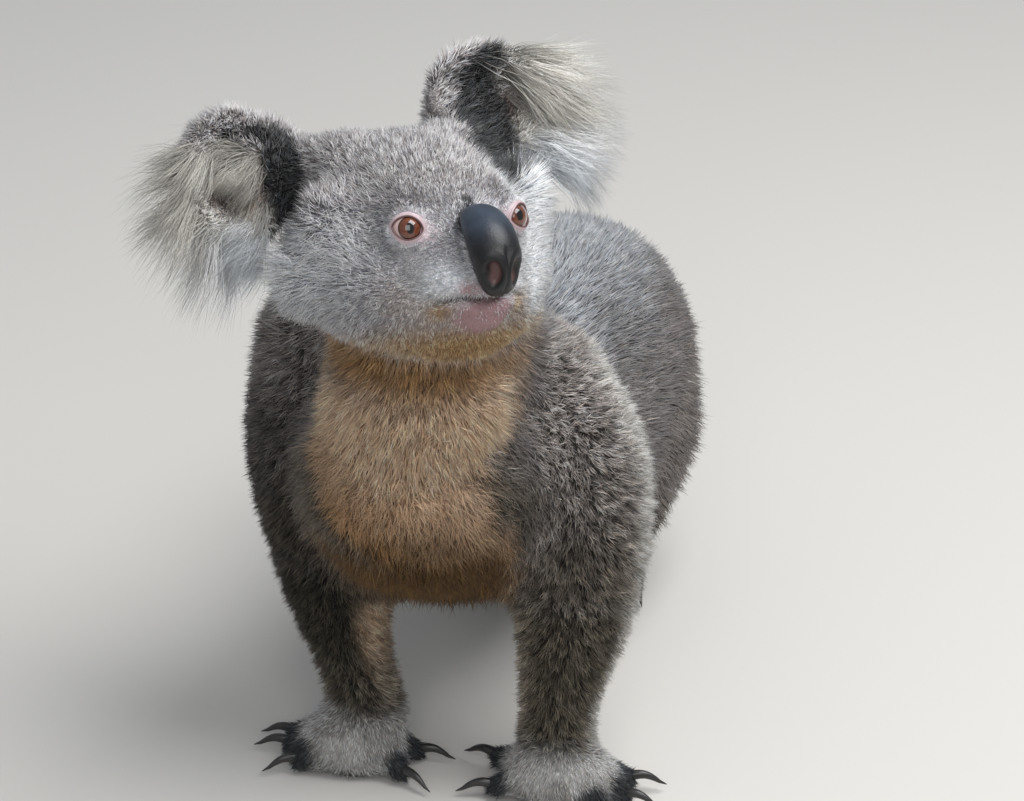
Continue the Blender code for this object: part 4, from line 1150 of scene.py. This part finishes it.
for side in SIDES:
    ahead = unit(HEAD_AXES @ np.array(GAZE[side]))
    upper = unit(HEAD_AXES[:, 2] - (HEAD_AXES[:, 2] @ ahead) * ahead)
    beside = np.cross(ahead, upper)
    angle = np.concatenate([np.linspace(0.012, IRIS_EDGE * 1.15, 60),
                            np.linspace(IRIS_EDGE * 1.25, math.pi - 0.03, 16)])
    turn = np.linspace(0, 2 * math.pi, 128, endpoint=False)
    a, t = np.meshgrid(angle, turn, indexing="ij")
    cornea = CORNEA * ease(IRIS_EDGE * 1.08, IRIS_EDGE * 0.35, a)
    spread = (EYE_RADIUS - EYE_GAP + cornea)[..., None]
    aside = np.cos(t)[..., None] * beside + np.sin(t)[..., None] * upper
    rings = EYES[side] + spread * (np.cos(a)[..., None] * ahead + np.sin(a)[..., None] * aside)
    front = EYES[side] + ahead * (EYE_RADIUS - EYE_GAP + CORNEA)
    points, faces = capped(rings, front, EYES[side] - ahead * EYE_RADIUS)
    # fibres in the iris, its dark inner and outer rings, the white and the slit, by the angle off the gaze
    a, t = np.append(a.ravel(), (0, math.pi)), np.append(t.ravel(), (0, 0))
    fibre = grain(np.stack([np.cos(t) * 3, np.sin(t) * 3, a * 0.8], axis=1), 0.30, 41)
    tint = np.array(EYE_TINTS["iris"]) * (0.65 + 0.8 * fibre[:, None])
    for name, start, end in (("inner", 0.35, 0.15), ("ring", IRIS_EDGE * 0.80, IRIS_EDGE * 0.93),
                             ("white", IRIS_EDGE * 0.97, IRIS_EDGE * 1.05)):
        cover = ease(start, end, a)
        tint = tint * (1 - cover[:, None]) + np.array(EYE_TINTS[name]) * cover[:, None]
    slit = np.hypot(a * np.cos(t) / 0.19, a * np.sin(t) / 0.34)
    tint = np.where((slit < 1)[:, None], np.array(EYE_TINTS["pupil"]), tint)
    eye = placed_object(f"eyeball_{side}", made_mesh(f"eyeball_{side}", points, faces, tint))
    eye.data.materials.append(wet)
    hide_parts(f"eye_{side}")
    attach(eye, "root")

# ==== Eyelids ==========================================================================================
# A ring of bare pink skin round each eye, grown out of the face: a rounded wet edge against the eyeball, a
# fold, and an outer border that dives under the short hair.
lid_finish, lid_shader = flecked("bare_lid", "tint", 1500, 0.25, 0.25, 0.0003)
lid_shader.inputs["Roughness"].default_value = 0.42
LID_COLOURS = {"edge": (0.09, 0.040, 0.040), "pink": (0.50, 0.38, 0.40), "outer": (0.50, 0.45, 0.48)}
LID_PROFILE = (  # the way out from the lids' edge in radians, and the height over the eyeball in millimetres
    (0.24, 0.1), (0.10, 0.1), (0.0, 0.15), (-0.02, 0.40), (0.0, 0.75), (0.03, 1.00), (0.07, 1.15),
    (0.12, 1.15), (0.16, 0.95), (0.20, 1.05), (0.26, 1.25), (0.31, 1.0), (0.36, 0.3), (0.34, 0.0),
)
for side in SIDES:
    turn = np.linspace(0, 2 * math.pi, 144, endpoint=False)
    edge = lid_edge(turn)
    aside = np.cos(turn)[:, None] * EYE_OUTER[side] + np.sin(turn)[:, None] * EYE_UPPER[side]
    inner, upper = ease(0.2, 1.0, -np.cos(turn)), ease(-0.2, 0.6, np.sin(turn))
    rings, colours = [], []
    for out, height in LID_PROFILE:
        angle = edge + out * (1 + 0.35 * inner * (out > 0.1))
        radius = EYE_RADIUS + (height + (0.35 * upper if height > 1 else 0)) / 1000
        ahead, beside = (radius * np.cos(angle))[:, None], (radius * np.sin(angle))[:, None]
        rings.append(EYES[side] + ahead * EYE_FACING[side] + beside * aside)
        wet_edge = 0.1 < height < 1.2 and out < 0.05
        outer = ease(0.14, 0.34, out)
        tint = np.array(LID_COLOURS["edge" if wet_edge else "pink"]) * (1 - outer)
        colours.append(np.broadcast_to(tint + np.array(LID_COLOURS["outer"]) * outer, (len(turn), 3)))
    # the last ring joins the first, so the lids are a closed tube
    faces = grid_faces(len(rings) + 1, len(turn)) % (len(rings) * len(turn))
    mesh = made_mesh(f"lids_{side}", np.concatenate(rings), faces, np.concatenate(colours))
    lids = placed_object(f"lids_{side}", mesh)
    lids.data.materials.append(lid_finish)
    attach(lids, "root")

# ==== Nose =============================================================================================
# A large bald nose of pebbled black leather, grown into the face from between the eyes to the lip, broader
# above and further forward below, with two round nostrils and a shallow groove between them.
NOSTRIL, NOSTRIL_HALF = (8.4, -20.5), (5.2, 7.0)  # beside and up from the nose's middle, in millimetres
rise = np.linspace(-math.pi / 2 + 0.02, math.pi / 2 - 0.02, 110)
turn = np.linspace(0, 2 * math.pi, 160, endpoint=False)
r, t = np.meshgrid(rise, turn, indexing="ij")
high = np.sin(r)
level = np.cos(r) ** 0.60
wide = NOSE_HALF[0] * (1 + 0.02 * high) * level
deep = NOSE_HALF[1] * (1 - 0.08 * high) * level
local = np.stack([wide * np.cos(t), deep * np.sin(t), NOSE_HALF[2] * high], axis=-1)
poles = np.array([(0, 0, -NOSE_HALF[2]), (0, 0, NOSE_HALF[2])], float)
local = np.concatenate([local.reshape(-1, 3), poles])
outwards = unit(local / np.array(NOSE_HALF) ** 2)
side_x = np.abs(local[:, 0])
in_front = ease(0, -6, local[:, 1])
to_nostril = side_x - NOSTRIL[0] - 0.22 * (local[:, 2] + 20)
opening = np.hypot(to_nostril / NOSTRIL_HALF[0], (local[:, 2] - NOSTRIL[1]) / NOSTRIL_HALF[1])
pit = ease(1.12, 0.62, opening) * in_front
rim = np.exp(-(((opening - 1.55) / 0.42) ** 2)) * in_front
groove = np.exp(-((local[:, 0] / 1.1) ** 2)) * ease(-6, -13, local[:, 2]) * in_front
pebbles = grain(local, 1.3, 51) * 0.5 + grain(local, 0.7, 52) * 0.3
local = local + outwards * (0.5 * rim - 5.5 * pit - 1.0 * groove + 0.14 * pebbles)[:, None]
local[:, 1] += nose_bow(local[:, 2] / NOSE_HALF[2])
c, n = math.cos(NOSE_TILT), math.sin(NOSE_TILT)
turned = np.stack([local[:, 0], local[:, 1] * c - local[:, 2] * n, local[:, 1] * n + local[:, 2] * c], axis=1)
nose_points = from_head(turned + NOSE_PLACE)
rings = nose_points[:-2].reshape(len(rise), len(turn), 3)
points, faces = capped(rings, nose_points[-2], nose_points[-1])
# painted light and shade: the leather is paler and bluish towards the top as a painted reflection of the light
# above, and nearly black below as painted shade
painted_top_light = ease(-9, 18, local[:, 2])[:, None]
leather = np.array((0.030, 0.042, 0.062)) * painted_top_light + np.array((0.007, 0.007, 0.008)) * (1 - painted_top_light)
leather *= (0.75 + 0.5 * np.append(grain(local[:-2], 5, 53), (0.5, 0.5)))[:, None]
inside = np.array((0.095, 0.048, 0.044))
wet_pit = ease(0.25, 0.8, pit)[:, None] * ease(13, 10, side_x)[:, None]
leather = leather * (1 - wet_pit) + inside * wet_pit
nose = placed_object("nose_leather", made_mesh("nose_leather", points, faces, leather))
nose_finish, nose_shader = flecked("pebbled_leather", "tint", 900, 0.25, 0.30, 0.0004)
nose_shader.inputs["Roughness"].default_value = 0.40
nose_shader.inputs["Specular IOR Level"].default_value = 0.42
nose.data.materials.append(nose_finish)
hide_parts("nose")
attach(nose, "root")

# ==== Claws ============================================================================================
# Long sharp curved claws of black horn, each set in the end of its finger: an oval section that leaves the
# finger rising, arches over and runs down to a point. The horn is smooth and faintly mottled.
CLAW_RADIUS, CLAW_ARCH = 0.0031, 0.0018
horn, nodes, links, shader = new_material("black_horn")
mottling = nodes.new("ShaderNodeTexNoise")
mottling.inputs["Scale"].default_value = 220
ramp = nodes.new("ShaderNodeValToRGB")
ramp.color_ramp.elements[0].color = (0.010, 0.010, 0.011, 1)
ramp.color_ramp.elements[1].color = (0.040, 0.037, 0.034, 1)
where = nodes.new("ShaderNodeTexCoord")
links.new(where.outputs["Object"], mottling.inputs["Vector"])
links.new(mottling.outputs["Fac"], ramp.inputs["Fac"])
links.new(ramp.outputs["Color"], shader.inputs["Base Color"])
shader.inputs["Roughness"].default_value = 0.32
for node, (root, heading, length) in CLAWS.items():
    low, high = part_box(node)
    t = np.linspace(0, 1, 26)
    turn = np.linspace(0, 2 * math.pi, 24, endpoint=False)
    top = high.z - 0.0029
    start = root[:2] + heading[:2] * 0.0005
    run = start + heading[:2] * ((length - 0.001) * t)[:, None]
    arch = CLAW_ARCH * np.sin(math.pi * np.minimum(1, 1.25 * t))
    drop = (top - 0.0035 - low.z) * t**1.7
    middle = np.column_stack([run, top - 0.0015 + arch - drop])
    radius = (CLAW_RADIUS * (1 - 0.90 * t**1.6))[:, None, None]
    sideways = np.array((-heading[1], heading[0], 0))
    tangent = unit(np.gradient(middle, axis=0))
    over = np.cross(tangent, sideways)[:, None]
    keel = (1 + 0.10 * np.cos(2 * turn))[:, None]
    oval = 0.82 * np.cos(turn)[:, None] * sideways + 1.12 * np.sin(turn)[:, None] * over
    rings = middle[:, None] + radius * keel * oval
    points, faces = capped(rings, middle[0] - tangent[0] * 0.001, middle[-1] + tangent[-1] * 0.0006)
    claw = placed_object(node.replace("claw", "horn"), made_mesh(node, points, faces))
    claw.data.materials.append(horn)
    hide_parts(node)
    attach(claw, "root")

# ==== Floor, light and camera ==========================================================================
# A plain pale floor under a wide soft light, and a camera ahead of the koala, to its left and above it.
bpy.ops.mesh.primitive_plane_add(size=14, location=(0, 0, 0))
floor = bpy.context.object
floor.name = "floor"
floor_finish, nodes, links, shader = new_material("pale_floor")
shader.inputs["Base Color"].default_value = (0.62, 0.60, 0.57, 1)
shader.inputs["Roughness"].default_value = 0.8
floor.data.materials.append(floor_finish)

world = bpy.data.worlds.new("studio")
bpy.context.scene.world = world
world.use_nodes = True
world.node_tree.nodes["Background"].inputs["Color"].default_value = (0.90, 0.95, 1.0, 1)
world.node_tree.nodes["Background"].inputs["Strength"].default_value = 0.40
for name, place, size, power in (
    ("overhead", (1.0, -0.1, 2.2), 1.6, 58),
    ("front", (0.6, -2.2, 1.7), 1.4, 18),
):
    light = bpy.data.lights.new(name, "AREA")
    light.shape, light.size, light.energy = "SQUARE", size, power
    lamp = bpy.data.objects.new(name, light)
    lamp.location = place
    lamp.rotation_euler = (Vector((0, 0, 0.2)) - Vector(place)).to_track_quat("-Z", "Y").to_euler()
    bpy.context.scene.collection.objects.link(lamp)

AZIMUTH, ELEVATION = math.radians(15), math.radians(28)
CAMERA_AT = Vector(between_eyes + np.array((0.4478, -1.5588, 0.7515)))
level = math.cos(ELEVATION)
behind = Vector((math.sin(AZIMUTH) * level, -math.cos(AZIMUTH) * level, math.sin(ELEVATION)))
rightward = Vector((math.cos(AZIMUTH), math.sin(AZIMUTH), 0))
turned = Matrix((rightward, behind.cross(rightward), behind)).transposed().to_4x4()
lens = bpy.data.cameras.new("camera")
lens.sensor_width, lens.lens = 36, 113.9
camera = bpy.data.objects.new("camera", lens)
camera.matrix_world = Matrix.Translation(CAMERA_AT) @ turned
bpy.context.scene.collection.objects.link(camera)
bpy.context.scene.camera = camera

bpy.context.scene.view_settings.view_transform = "Standard"
